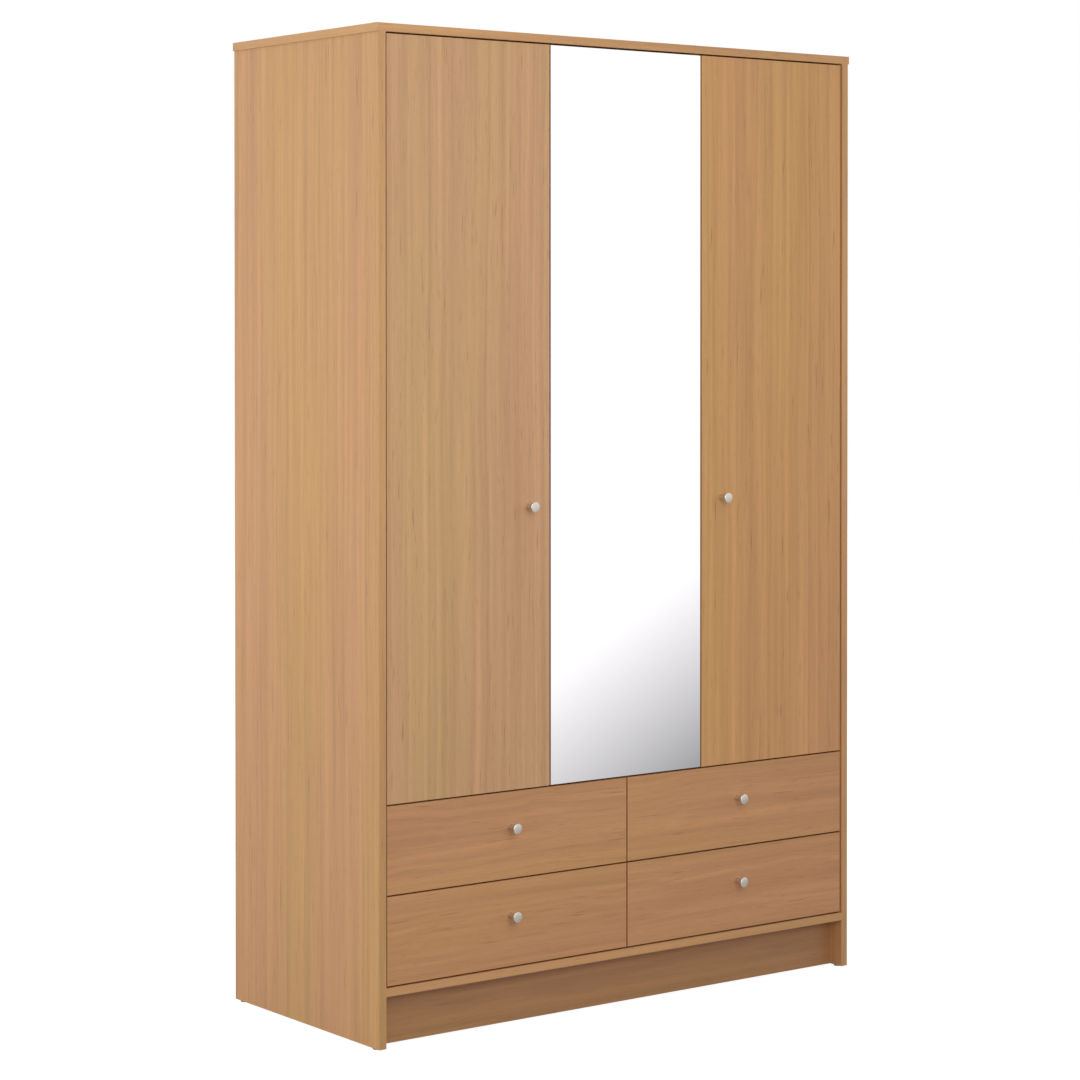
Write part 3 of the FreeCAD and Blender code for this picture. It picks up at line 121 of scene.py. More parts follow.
@dataclass(frozen=True)
class OakFoil:
    """Oak-effect melamine foil on chipboard: printed grain, satin, with fine pores.

    The print is a flat-sawn plank. Growth rings run round a pith line that lies behind the face, so
    they crowd to straight lines at the sides and open into long arches in the middle. Over them lie
    thin fibres, short open pores with a faint emboss, and a few darker dashes. The hidden rear edge
    is bare chipboard.
    """

    name: str
    grain: Grain
    centre_mm: tuple[float, float, float]
    seed: float
    base: str = "#CD9B67"
    end_grain: Grain = Grain.DEEP
    pith_mm: tuple[float, float] = (0.0, 30.0)
    band_mm: float = 22.0
    ring_mm: float = 8.0
    wander_mm: float = 22.0
    wander_length_mm: float = 520.0
    fibre_mm: float = 1.6
    fibre_length_mm: float = 120.0
    dash_mm: float = 4.5
    dash_length_mm: float = 75.0
    rear_is_bare: bool = True
    contrast: float = 0.62
    roughness: float = 0.44

    def coordinates(self, tree: bpy.types.NodeTree) -> bpy.types.NodeSocket:
        """Return millimetres from the board's centre, with the grain along the third axis.

        Faces that look along the grain carry edging whose grain runs along the edge.
        """
        spot = add_node(tree, "TexCoord")
        local = add_node(tree, "Mapping", {
            "Vector": spot["Object"],
            "Scale": (PER_MM, PER_MM, PER_MM),
            "Location": [-value for value in self.centre_mm],
        })
        axes = add_node(tree, "SeparateXYZ", {0: local[0]})
        looks = add_node(tree, "SeparateXYZ", {0: spot["Normal"]})
        main, end = (
            add_node(tree, "CombineXYZ", {place: axes[axis] for place, axis in enumerate(grain.value)})[0]
            for grain in (self.grain, self.end_grain)
        )
        along = add_node(tree, "Math", {0: looks[self.grain.value[2]]}, operation="ABSOLUTE")
        is_end = add_node(tree, "Math", {0: along[0], 1: LOOKS_ALONG}, operation="GREATER_THAN")
        return add_node(tree, "Mix", {0: is_end[0], 4: main, 5: end}, data_type="VECTOR")[1]

    def streaks(
        self, tree: bpy.types.NodeTree, spot: bpy.types.NodeSocket,
        width_mm: float, length_mm: float, detail: float,
    ) -> bpy.types.NodeSocket:
        """Add a noise drawn out along the grain.

        Args:
            tree: the material's nodes.
            spot: millimetres, with the grain along the third axis.
            width_mm: how wide one streak is.
            length_mm: how long one streak is.
            detail: how many finer layers it has.

        Returns:
            The noise's value.
        """
        drawn = add_node(tree, "Mapping", {
            "Vector": spot,
            "Scale": (1 / width_mm, 1 / width_mm, 1 / length_mm),
            "Location": (self.seed * 7.3, self.seed * 3.1, self.seed * 5.7),
        })
        return add_node(tree, "TexNoise", {
            "Vector": drawn[0], "Scale": 1.0, "Detail": detail, "Roughness": 0.6,
        })["Fac"]

    def rings(self, tree: bpy.types.NodeTree, spot: bpy.types.NodeSocket) -> bpy.types.NodeSocket:
        """Return the growth rings as a value round one half."""
        slow = add_node(tree, "Mapping", {
            "Vector": spot,
            "Scale": (1 / 260.0, 1 / 260.0, 1 / self.wander_length_mm),
            "Location": (self.seed * 2.9, self.seed * 4.1, self.seed * 1.3),
        })
        wander = add_node(tree, "TexNoise", {"Vector": slow[0], "Scale": 1.0, "Detail": 1.0})
        shift = add_node(tree, "VectorMath", {
            0: wander["Color"], 1: (self.wander_mm, self.wander_mm, 0.0),
            2: (-self.pith_mm[0] - self.wander_mm / 2, -self.pith_mm[1] - self.wander_mm / 2, 0.0),
        }, operation="MULTIPLY_ADD")
        flat = add_node(tree, "VectorMath", {
            0: spot, 1: (1.0, 1.0, 0.0), 2: shift[0],
        }, operation="MULTIPLY_ADD")
        radius = add_node(tree, "VectorMath", {0: flat[0]}, operation="LENGTH")
        ragged = self.streaks(tree, spot, 7.0, 160.0, 2.0)
        turn = add_node(tree, "Math", {0: ragged, 1: 9.0, 2: radius["Value"]}, operation="MULTIPLY_ADD")
        count = add_node(tree, "Math", {
            0: turn[0], 1: 1 / self.ring_mm, 2: self.seed * 11.0,
        }, operation="MULTIPLY_ADD")
        return add_node(tree, "TexNoise", {
            "W": count[0], "Scale": 1.0, "Detail": 3.0, "Roughness": 0.62,
        }, noise_dimensions="1D")["Fac"]

    def build(self) -> bpy.types.Material:
        """Make the material."""
        material, tree = start_material(self.name)
        spot = self.coordinates(tree)
        bands = self.streaks(tree, spot, self.band_mm, self.band_mm * 40, 2.0)
        fibres = self.streaks(tree, spot, self.fibre_mm, self.fibre_length_mm, 2.0)
        parts = ((bands, 0.92), (self.rings(tree, spot), 0.62), (fibres, 0.36))
        tone = 0.5 - 0.5 * sum(share for _, share in parts) * self.contrast
        for value, share in parts:
            tone = add_node(tree, "Math", {
                0: value, 1: share * self.contrast, 2: tone,
            }, operation="MULTIPLY_ADD", use_clamp=False)[0]
        wood = add_node(tree, "Mix", {
            0: tone, 6: linear(self.base, 0.60), 7: linear(self.base, 1.40),
        }, data_type="RGBA")[2]
        drift = add_node(tree, "MapRange", {
            "Value": self.streaks(tree, spot, 130.0, 1500.0, 0.0), "From Min": 0.3, "From Max": 0.7,
        })[0]
        cast = add_node(tree, "Mix", {
            0: drift, 6: (1.01, 0.975, 1.05, 1.0), 7: (0.99, 1.025, 0.95, 1.0),
        }, data_type="RGBA")[2]
        wood = add_node(tree, "Mix", {0: 1.0, 6: wood, 7: cast}, data_type="RGBA", blend_type="MULTIPLY")[2]
        dashes = add_node(tree, "MapRange", {
            "Value": self.streaks(tree, spot, self.dash_mm, self.dash_length_mm, 2.0),
            "From Min": 0.63, "From Max": 0.80, "To Max": 0.50,
        })[0]
        wood = add_node(tree, "Mix", {0: dashes, 6: wood, 7: linear("#8C5A36", 0.85)}, data_type="RGBA")[2]
        pores = add_node(tree, "MapRange", {
            "Value": self.streaks(tree, spot, 0.9, 22.0, 1.0), "From Min": 0.60, "From Max": 0.72,
        })[0]
        shade = add_node(tree, "Math", {0: pores, 1: 0.22}, operation="MULTIPLY")[0]
        wood = add_node(tree, "Mix", {0: shade, 6: wood, 7: linear(self.base, 0.45)}, data_type="RGBA")[2]
        rough = add_node(tree, "Math", {0: pores, 1: 0.14, 2: self.roughness}, operation="MULTIPLY_ADD")[0]
        if self.rear_is_bare:
            wood, rough = self.bare_edge(tree, wood, rough)
        bump = add_node(tree, "Bump", {
            "Height": add_node(tree, "Math", {0: fibres, 1: 0.4, 2: pores}, operation="SUBTRACT")[0],
            "Strength": 0.35, "Distance": 0.05 * MM,
        })
        close_material(tree, {
            "Base Color": wood, "Roughness": rough, "IOR": 1.48, "Normal": bump[0],
        })
        return material

    def bare_edge(
        self, tree: bpy.types.NodeTree, wood: bpy.types.NodeSocket, rough: bpy.types.NodeSocket,
    ) -> tuple[bpy.types.NodeSocket, bpy.types.NodeSocket]:
        """Show pressed wood chips on the faces that look to the rear.

        Args:
            tree: the material's nodes.
            wood: the foil's colour.
            rough: the foil's roughness.

        Returns:
            The colour and roughness with the bare edge in them.
        """
        spot = add_node(tree, "TexCoord")
        looks = add_node(tree, "SeparateXYZ", {0: spot["Normal"]})
        rear = add_node(tree, "Math", {0: looks["Y"], 1: LOOKS_ALONG}, operation="GREATER_THAN")[0]
        chips = add_node(tree, "TexVoronoi", {"Vector": spot["Object"], "Scale": 1 / (2.2 * MM)})
        grey = add_node(tree, "SeparateColor", {0: chips["Color"]})
        board = add_node(tree, "Mix", {
            0: grey[0], 6: linear("#8E6B45"), 7: linear("#CFAE80"),
        }, data_type="RGBA")[2]
        colour = add_node(tree, "Mix", {0: rear, 6: wood, 7: board}, data_type="RGBA")[2]
        matt = add_node(tree, "Mix", {0: rear, 2: rough, 3: 0.9})[0]
        return colour, matt


@dataclass(frozen=True)
class PrintedHardboard:
    """Thin hardboard with an oak print on one side: the other side is bare pressed fibre.

    The print is flat and matt. The bare side is brown and mottled, with darker specks of bark.
    """

    name: str
    printed_axis: str
    printed_sign: float
    print_light: str = "#CFA67A"
    print_dark: str = "#B88C60"
    bare_light: str = "#AD8358"
    bare_dark: str = "#8A623B"
    speck_mm: float = 2.5

    def build(self) -> bpy.types.Material:
        """Make the material."""
        material, tree = start_material(self.name)
        spot = add_node(tree, "TexCoord")
        looks = add_node(tree, "SeparateXYZ", {0: spot["Normal"]})
        facing = add_node(tree, "Math", {
            0: looks[self.printed_axis], 1: self.printed_sign,
        }, operation="MULTIPLY")[0]
        printed = add_node(tree, "Math", {0: facing, 1: 0.5}, operation="GREATER_THAN")[0]
        fine, long = 1 / 0.012, 1 / 0.9
        streak_scale = (fine, fine, long) if self.printed_axis == "Y" else (long, fine, fine)
        drawn = add_node(tree, "Mapping", {"Vector": spot["Object"], "Scale": streak_scale})
        grain = add_node(tree, "TexNoise", {
            "Vector": drawn[0], "Scale": 1.0, "Detail": 4.0, "Roughness": 0.65,
        })
        oak = add_node(tree, "Mix", {
            0: grain["Fac"], 6: linear(self.print_dark, 0.9), 7: linear(self.print_light, 1.1),
        }, data_type="RGBA")[2]
        cloud = add_node(tree, "TexNoise", {"Vector": spot["Object"], "Scale": 9.0, "Detail": 3.0})
        speck = add_node(tree, "TexNoise", {
            "Vector": spot["Object"], "Scale": 1 / (self.speck_mm * MM), "Detail": 4.0, "Roughness": 0.75,
        })
        mottle = add_node(tree, "Math", {
            0: cloud["Fac"], 1: 0.7, 2: speck["Fac"],
        }, operation="MULTIPLY_ADD")[0]
        tone = add_node(tree, "MapRange", {"Value": mottle, "From Min": 0.6, "From Max": 1.1})[0]
        bare = add_node(tree, "Mix", {
            0: tone, 6: linear(self.bare_dark), 7: linear(self.bare_light),
        }, data_type="RGBA")[2]
        colour = add_node(tree, "Mix", {0: printed, 6: bare, 7: oak}, data_type="RGBA")[2]
        rough = add_node(tree, "Mix", {0: printed, 2: 0.85, 3: 0.55})[0]
        bump = add_node(tree, "Bump", {"Height": speck["Fac"], "Strength": 0.25, "Distance": 0.08 * MM})
        close_material(tree, {"Base Color": colour, "Roughness": rough, "IOR": 1.48, "Normal": bump[0]})
        return material


@dataclass(frozen=True)
class Metal:
    """Plated, cast or chromed metal: fine marks of its making spread the highlight a little."""

    name: str
    colour: str
    roughness: float
    mark_mm: float = 0.4
    mark_depth_mm: float = 0.008
    stain: float = 0.10

    def build(self) -> bpy.types.Material:
        """Make the material."""
        material, tree = start_material(self.name)
        spot = add_node(tree, "TexCoord")["Object"]
        marks = add_node(tree, "TexNoise", {"Vector": spot, "Scale": 1 / (self.mark_mm * MM), "Detail": 2.0})
        cloud = add_node(tree, "TexNoise", {"Vector": spot, "Scale": 140.0, "Detail": 3.0})
        colour = add_node(tree, "Mix", {
            0: cloud["Fac"], 6: linear(self.colour, 1.0 - self.stain),
            7: linear(self.colour, 1.0 + self.stain / 2),
        }, data_type="RGBA")[2]
        rough = add_node(tree, "Math", {
            0: marks["Fac"], 1: self.roughness * 0.4, 2: self.roughness * 0.8,
        }, operation="MULTIPLY_ADD")[0]
        bump = add_node(tree, "Bump", {
            "Height": marks["Fac"], "Strength": 0.3, "Distance": self.mark_depth_mm * MM,
        })
        close_material(tree, {"Base Color": colour, "Roughness": rough, "Metallic": 1.0, "Normal": bump[0]})
        return material


@dataclass(frozen=True)
class MirrorPane:
    """Silvered float glass: a clean reflection on the faces and a pale ground edge."""

    name: str
    silver: str = "#FBF9FC"
    edge: str = "#B9AD92"

    def build(self) -> bpy.types.Material:
        """Make the material."""
        material, tree = start_material(self.name)
        spot = add_node(tree, "TexCoord")
        looks = add_node(tree, "SeparateXYZ", {0: spot["Normal"]})
        facing = add_node(tree, "Math", {0: looks["Y"]}, operation="ABSOLUTE")[0]
        is_face = add_node(tree, "Math", {0: facing, 1: LOOKS_ALONG}, operation="GREATER_THAN")[0]
        grind = add_node(tree, "TexNoise", {"Vector": spot["Object"], "Scale": 900.0, "Detail": 2.0})
        edge = add_node(tree, "Mix", {
            0: grind["Fac"], 6: linear(self.edge, 0.7), 7: linear(self.edge, 1.3),
        }, data_type="RGBA")[2]
        colour = add_node(tree, "Mix", {0: is_face, 6: edge, 7: linear(self.silver)}, data_type="RGBA")[2]
        rough = add_node(tree, "Mix", {0: is_face, 2: 0.35, 3: 0.004})[0]
        close_material(tree, {"Base Color": colour, "Roughness": rough, "Metallic": is_face})
        return material


@dataclass(frozen=True)
class MouldedPlastic:
    """Moulded or extruded plastic with the fine spark-eroded texture of its tool."""

    name: str
    colour: str
    roughness: float = 0.5
    texture_mm: float = 0.6
    texture_depth_mm: float = 0.03

    def build(self) -> bpy.types.Material:
        """Make the material."""
        material, tree = start_material(self.name)
        spot = add_node(tree, "TexCoord")["Object"]
        texture = add_node(tree, "TexNoise", {
            "Vector": spot, "Scale": 1 / (self.texture_mm * MM), "Detail": 2.0,
        })
        colour = add_node(tree, "Mix", {
            0: texture["Fac"], 6: linear(self.colour, 0.86), 7: linear(self.colour, 1.10),
        }, data_type="RGBA")[2]
        rough = add_node(tree, "Math", {
            0: texture["Fac"], 1: 0.16, 2: self.roughness - 0.08,
        }, operation="MULTIPLY_ADD")[0]
        bump = add_node(tree, "Bump", {
            "Height": texture["Fac"], "Strength": 0.3, "Distance": self.texture_depth_mm * MM,
        })
        close_material(tree, {
            "Base Color": colour, "Roughness": rough, "IOR": 1.49, "Normal": bump[0],
        })
        return material


def dress(node: str, material: bpy.types.Material) -> None:
    """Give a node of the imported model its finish.

    Args:
        node: the node's name.
        material: what all its faces take.
    """
    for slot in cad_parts[node].material_slots:
        slot.material = material
    LOG.info("dressed %s with %s", node, material.name)


def dress_in_oak(node: str, grain: Grain, seed: float, **changes: object) -> None:
    """Give a board its own oak foil, centred on the board.

    Args:
        node: the board's name.
        grain: which way its grain runs.
        seed: which part of the print it is cut from.
        changes: fields of the foil that differ on this board.
    """
    low, high = (Vector(corner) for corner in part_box(node))
    centre_mm = tuple((low + high) / 2 * PER_MM)
    dress(node, OakFoil(f"oak_foil_{node}", grain, centre_mm, seed, **changes).build())


@dataclass(frozen=True)
class FinishKit:
    """The finishes that several pieces share."""

    back_sheet: bpy.types.Material = field(
        default_factory=PrintedHardboard("hardboard_back", "Y", -1.0).build,
    )
    drawer_sheet: bpy.types.Material = field(
        default_factory=PrintedHardboard("hardboard_bottom", "Z", 1.0).build,
    )
    strip_plastic: bpy.types.Material = field(
        default_factory=MouldedPlastic("extruded_pvc_strip", "#B08A60").build,
    )
    glide_plastic: bpy.types.Material = field(
        default_factory=MouldedPlastic("moulded_grey_glide", "#8A8B8C").build,
    )
    runner_plastic: bpy.types.Material = field(
        default_factory=MouldedPlastic("moulded_white_runner", "#DEDAD0").build,
    )
    zinc: bpy.types.Material = field(default_factory=Metal("zinc_plated_steel", "#C4C2BA", 0.36).build)
    die_cast: bpy.types.Material = field(default_factory=Metal("die_cast_zinc", "#A9AAAC", 0.44).build)
    chrome: bpy.types.Material = field(
        default_factory=Metal("chromed_steel_tube", "#E4E6E8", 0.09, stain=0.03).build,
    )
    hinge_nickel: bpy.types.Material = field(
        default_factory=Metal("nickel_plated_steel", "#CDC9C1", 0.25).build,
    )
    satin_nickel: bpy.types.Material = field(default_factory=Metal("satin_nickel", "#D9D4CC", 0.30).build)
    mirror: bpy.types.Material = field(default_factory=MirrorPane("silvered_glass").build)


# ---------------------------------------------------------------- small hardware
@dataclass(frozen=True)
class Spot:
    """Where a small piece sits, and which way it points."""

    at: tuple[float, float, float]
    toward: tuple[float, float, float]
    turn_deg: float = 0.0


@dataclass(frozen=True)
class SmallPart:
    """A small turned or pressed part, modelled once in millimetres and copied to its places."""

    radius_mm: float
    height_mm: float
    sides: int = 20

    def blank(self) -> bpy.types.Object:
        """Add the round blank: it stands on the origin and points along +Z."""
        bpy.ops.object.select_all(action="DESELECT")
        bpy.ops.mesh.primitive_cylinder_add(
            vertices=self.sides, radius=self.radius_mm, depth=self.height_mm,
            location=(0, 0, self.height_mm / 2),
        )
        bpy.ops.object.transform_apply(location=True, rotation=True, scale=True)
        return bpy.context.active_object

    def pick_top(self, blank: bpy.types.Object) -> None:
        """Enter edit mode with only the blank's top face selected."""
        mesh = blank.data
        for group in (mesh.vertices, mesh.edges, mesh.polygons):
            group.foreach_set("select", [False] * len(group))
        top = max(mesh.polygons, key=lambda face: face.center.z + face.normal.z)
        top.select = True
        bpy.ops.object.mode_set(mode="EDIT")
        bpy.ops.mesh.select_mode(type="FACE")

    def dome(self, blank: bpy.types.Object, steps: tuple[tuple[float, float], ...]) -> None:
        """Crown the top face in rings.

        Args:
            blank: the part's blank.
            steps: how far each ring steps in and up, in parts of the radius.
        """
        self.pick_top(blank)
        for inward, upward in steps:
            bpy.ops.mesh.inset(thickness=inward * self.radius_mm)
            bpy.ops.transform.translate(value=(0, 0, upward * self.radius_mm))
        bpy.ops.object.mode_set(mode="OBJECT")
        bpy.ops.object.shade_smooth_by_angle(angle=math.radians(45))

    def model(self) -> bpy.types.Object:
        """Model the part at the origin, in millimetres."""
        raise NotImplementedError

    def place(
        self, name: str, spots: list[Spot], body: str, slot: str, material: bpy.types.Material,
    ) -> None:
        """Copy the part to its places as one piece that rides on one body.

        Args:
            name: the piece's name.
            spots: where its copies go.
            body: the body it rides on.
            slot: not used.
            material: its finish.
        """
        master = self.model()
        copies = []
        for spot in spots:
            copy = master.copy()
            copy.data = master.data.copy()
            bpy.context.scene.collection.objects.link(copy)
            aim = Vector(spot.toward).to_track_quat("Z", "Y").to_matrix().to_4x4()
            spin = Matrix.Rotation(math.radians(spot.turn_deg), 4, "Z")
            copy.data.transform(Matrix.Translation(spot.at) @ aim @ spin @ Matrix.Scale(MM, 4))
            copies.append(copy)
        bpy.data.objects.remove(master)
        bpy.ops.object.select_all(action="DESELECT")
        for copy in copies:
            copy.select_set(True)
        piece = copies[0]
        bpy.context.view_layer.objects.active = piece
        bpy.ops.object.join()
        piece.name = name
        piece.data.materials.clear()
        piece.data.materials.append(material)
        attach(piece, body)
        LOG.info("added %s: %d on %s", name, len(spots), body)


@dataclass(frozen=True)
class SheetNail(SmallPart):
    """The head of a nail that holds the back sheets: a thin, slightly crowned disc."""

    radius_mm: float = 2.7
    height_mm: float = 0.25
    sides: int = 12

    def model(self) -> bpy.types.Object:
        """Model the head."""
        head = self.blank()
        self.dome(head, ((0.18, 0.05), (0.40, 0.04)))
        return head


@dataclass(frozen=True)
class CrossScrew(SmallPart):
    """The head of a cross-recess screw: a low dome with a four-armed socket."""

    radius_mm: float = 3.6
    height_mm: float = 1.55
    arm_share: float = 0.52
    slot_share: float = 0.17

    def model(self) -> bpy.types.Object:
        """Model the domed head and sink the two crossing slots."""
        head = self.blank()
        self.dome(head, ((0.14, 0.10), (0.20, 0.07), (0.30, 0.04)))
        top = self.height_mm + 0.21 * self.radius_mm
        for turn in (0.0, math.pi / 2):
            bpy.ops.object.select_all(action="DESELECT")
            bpy.ops.mesh.primitive_cube_add(size=1.0, location=(0.0, 0.0, top), rotation=(0.0, 0.0, turn))
            bar = bpy.context.active_object
            bar.scale = (2 * self.arm_share * self.radius_mm, 2 * self.slot_share * self.radius_mm, 1.4)
            bpy.context.view_layer.objects.active = head
            slot = head.modifiers.new("slot", "BOOLEAN")
            slot.operation = "DIFFERENCE"
            slot.solver = "EXACT"
            slot.object = bar
            bpy.ops.object.modifier_apply(modifier=slot.name)
            bpy.data.objects.remove(bar)
        return head


@dataclass
class HingeHardware:
    """The visible screws of one door's three concealed hinges."""

    door: str
    carrier: str
    faces_right: bool
    end_distance: float = 0.110
    cup_screw_spread: float = 0.024
    plate_screw_spread: float = 0.016
    plate_screw_back: float = 0.014
    plate_thickness: float = 0.002
    web_height: float = 0.009
    arm_length: float = 0.076
    adjusters_back: tuple[float, float] = (0.046, 0.064)

    def levels(self) -> list[float]:
        """Return the heights of the three hinges."""
        low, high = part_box("left_door_panel")
        return [low[2] + self.end_distance, (low[2] + high[2]) / 2, high[2] - self.end_distance]

    def build(self, kit: FinishKit) -> None:
        """Add the cup, plate and adjusting screws."""
        low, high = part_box(f"{self.door}_door_hinge_cups")
        cup_x = (low[0] + high[0]) / 2
        cup_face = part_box("left_door_panel")[1][1] + MM
        spots = [
            Spot((cup_x, cup_face, level + side * self.cup_screw_spread), (0, 1, 0), 20.0 * index)
            for index, level in enumerate(self.levels()) for side in (-1, 1)
        ]
        CrossScrew().place(
            f"{self.door}_cup_screws", spots, f"{self.door}_door", "hinge_steel", kit.hinge_nickel,
        )
        sign = 1 if self.faces_right else -1
        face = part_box(self.carrier)[1 if self.faces_right else 0][0]
        arms_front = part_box("hinge_plates")[0][1]
        plate_x, plate_y = face + sign * self.plate_thickness, arms_front + self.plate_screw_back
        spots = [
            Spot((plate_x, plate_y, level + side * self.plate_screw_spread), (sign, 0, 0), 35.0)
            for level in self.levels() for side in (-1, 1)
        ]
        CrossScrew().place(f"{self.door}_plate_screws", spots, "carcass", "hinge_steel", kit.hinge_nickel)
        web_x = face + sign * self.web_height
        pin_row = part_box("hinge_arms")[1][1] - self.arm_length
        spots = [
            Spot((web_x, pin_row + back, level), (sign, 0, 0), 15.0 + 400 * back)
            for level in self.levels() for back in self.adjusters_back
        ]
        CrossScrew(radius_mm=3.2, height_mm=0.8).place(
            f"{self.door}_hinge_adjusters", spots, "carcass", "hinge_steel", kit.hinge_nickel,
        )


@dataclass
class CarcassHardware:
    """Nails of the back sheets, and the screws of the rail sockets and wall brackets."""

    nail_pitch: float = 0.115
    nail_inset: float = 0.0045
    socket_screw_spread: float = 0.0196
    bracket_screw_inset: float = 0.024
    bracket_half_width: float = 0.010
    metal_sheet: float = 0.002

    def nail_spots(self) -> list[Spot]:
        """Return the nails along the edges of the back sheets, and along the boards behind them."""
        sheet_low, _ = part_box("back_panel_left")
        _, sheet_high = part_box("back_panel_right")
        face = sheet_high[1]
        left, right = sheet_low[0] + self.nail_inset, sheet_high[0] - self.nail_inset
        bottom, top = sheet_low[2] + self.nail_inset, sheet_high[2] - self.nail_inset
        shelf = sum(corner[2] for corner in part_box("middle_shelf")) / 2
        rows = []
        for x in (left, right, sum(corner[0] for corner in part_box("wardrobe_partition")) / 2):
            start = shelf if x not in (left, right) else bottom
            count = round((top - start) / self.nail_pitch)
            rows += [(x, start + (top - start) * (step + 0.5) / count) for step in range(count)]
        for z in (bottom, shelf, top):
            count = round((right - left) / self.nail_pitch)
            rows += [(left + (right - left) * (step + 0.5) / count, z) for step in range(count)]
        return [Spot((x, face, z), (0, 1, 0)) for x, z in rows]

    def build(self, kit: FinishKit) -> None:
        """Add the nails and screws."""
        SheetNail().place("back_sheet_nails", self.nail_spots(), "carcass", "bolt_steel", kit.zinc)
        low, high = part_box("rail_sockets")
        middle_y, middle_z = (low[1] + high[1]) / 2, (low[2] + high[2]) / 2
        spots = [
            Spot((x, middle_y, middle_z + side * self.socket_screw_spread), (toward, 0, 0), 25.0)
            for x, toward in ((low[0] + self.metal_sheet, 1), (high[0] - self.metal_sheet, -1))
            for side in (-1, 1)
        ]
        CrossScrew(radius_mm=2.6, height_mm=0.9).place(
            "rail_socket_screws", spots, "carcass", "rail_chrome", kit.chrome,
        )
        low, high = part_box("wall_brackets")
        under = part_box("top_panel")[0][2] - self.metal_sheet
        spots = [
            Spot((x, high[1] - self.bracket_screw_inset, under), (0, 0, -1), 30.0)
            for x in (low[0] + self.bracket_half_width, high[0] - self.bracket_half_width)
        ]
        CrossScrew(radius_mm=4.1, height_mm=2.05).place(
            "wall_bracket_screws", spots, "carcass", "bracket_steel", kit.zinc,
        )


@dataclass
class KnobScrew:
    """The screw that holds a knob, seen on the inside of its door or drawer front."""

    knob: str
    board: str
    body: str

    def build(self, kit: FinishKit) -> None:
        """Add the head of the screw."""
        low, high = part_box(self.knob)
        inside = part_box(self.board)[1][1]
        spot = Spot(((low[0] + high[0]) / 2, inside, (low[2] + high[2]) / 2), (0, 1, 0), 40.0)
        CrossScrew(radius_mm=4.1, height_mm=2.25).place(
            f"{self.knob}_screw_head", [spot], self.body, "knob_nickel", kit.zinc,
        )


# ---------------------------------------------------------------- wardrobe
@dataclass
class Carcass:
    """Sides, top, base, partitions, shelves, plinths and the hardware fixed to them."""

    # The plinths take a darker tan than the boards above them.
    tan: str = "#B48358"

    def dress(self, kit: FinishKit) -> None:
        """Give every fixed board and fitting its finish."""
        dress_in_oak("left_side_panel", Grain.UPRIGHT, 1.0, pith_mm=(28.0, -20.0))
        dress_in_oak("right_side_panel", Grain.UPRIGHT, 2.0, pith_mm=(-28.0, 40.0))
        dress_in_oak("wardrobe_partition", Grain.UPRIGHT, 3.0, pith_mm=(-30.0, -20.0))
        dress_in_oak("drawer_partition", Grain.UPRIGHT, 4.0, pith_mm=(30.0, 30.0))
        dress_in_oak("top_panel", Grain.ACROSS, 5.0, pith_mm=(-20.0, -40.0))
        dress_in_oak("base_panel", Grain.ACROSS, 6.0, pith_mm=(20.0, 40.0))
        dress_in_oak("middle_shelf", Grain.ACROSS, 7.0, pith_mm=(30.0, 40.0))
        dress_in_oak("shelf_lower", Grain.ACROSS, 8.0, pith_mm=(-40.0, 30.0))
        dress_in_oak("shelf_upper", Grain.ACROSS, 9.0, pith_mm=(0.0, 30.0))
        for seed, node in enumerate(("plinth_front", "plinth_rear")):
            dress_in_oak(node, Grain.ACROSS, 10.0 + seed, base=self.tan, pith_mm=(40.0, 0.0))
        for node in ("back_panel_left", "back_panel_right"):
            dress(node, kit.back_sheet)
        dress("back_panel_strip", kit.strip_plastic)
        dress("foot_glides", kit.glide_plastic)
        dress("drawer_runners", kit.runner_plastic)
        for node in ("wall_brackets", "cam_bolts", "shelf_pins"):
            dress(node, kit.zinc)
        dress("cam_locks", kit.die_cast)
        for node in ("hanging_rail", "rail_sockets"):
            dress(node, kit.chrome)
        for node in ("hinge_arms", "hinge_plates"):
            dress(node, kit.hinge_nickel)


@dataclass
class Door:
    """One door leaf with what is fixed to it."""

    side: str
    seed: float
    base: str
    pith_mm: tuple[float, float]
    carrier: str

    def dress(self, kit: FinishKit) -> None:
        """Give the door's board, knob or mirror and hinges their finishes."""
        dress_in_oak(
            f"{self.side}_door_panel", Grain.UPRIGHT, self.seed, base=self.base,
            pith_mm=self.pith_mm, end_grain=Grain.ACROSS, rear_is_bare=False,
        )
        dress(f"{self.side}_door_hinge_cups", kit.hinge_nickel)
        dress(f"{self.side}_hinge_links", kit.hinge_nickel)
        if self.side == "mirror":
            dress("mirror_glass", kit.mirror)
        else:
            dress(f"{self.side}_door_knob", kit.satin_nickel)

    def build(self, kit: FinishKit) -> None:
        """Add the screws of the door's hinges and knob."""
        HingeHardware(self.side, self.carrier, faces_right=self.side == "left").build(kit)
        if self.side != "mirror":
            KnobScrew(f"{self.side}_door_knob", f"{self.side}_door_panel", f"{self.side}_door").build(kit)


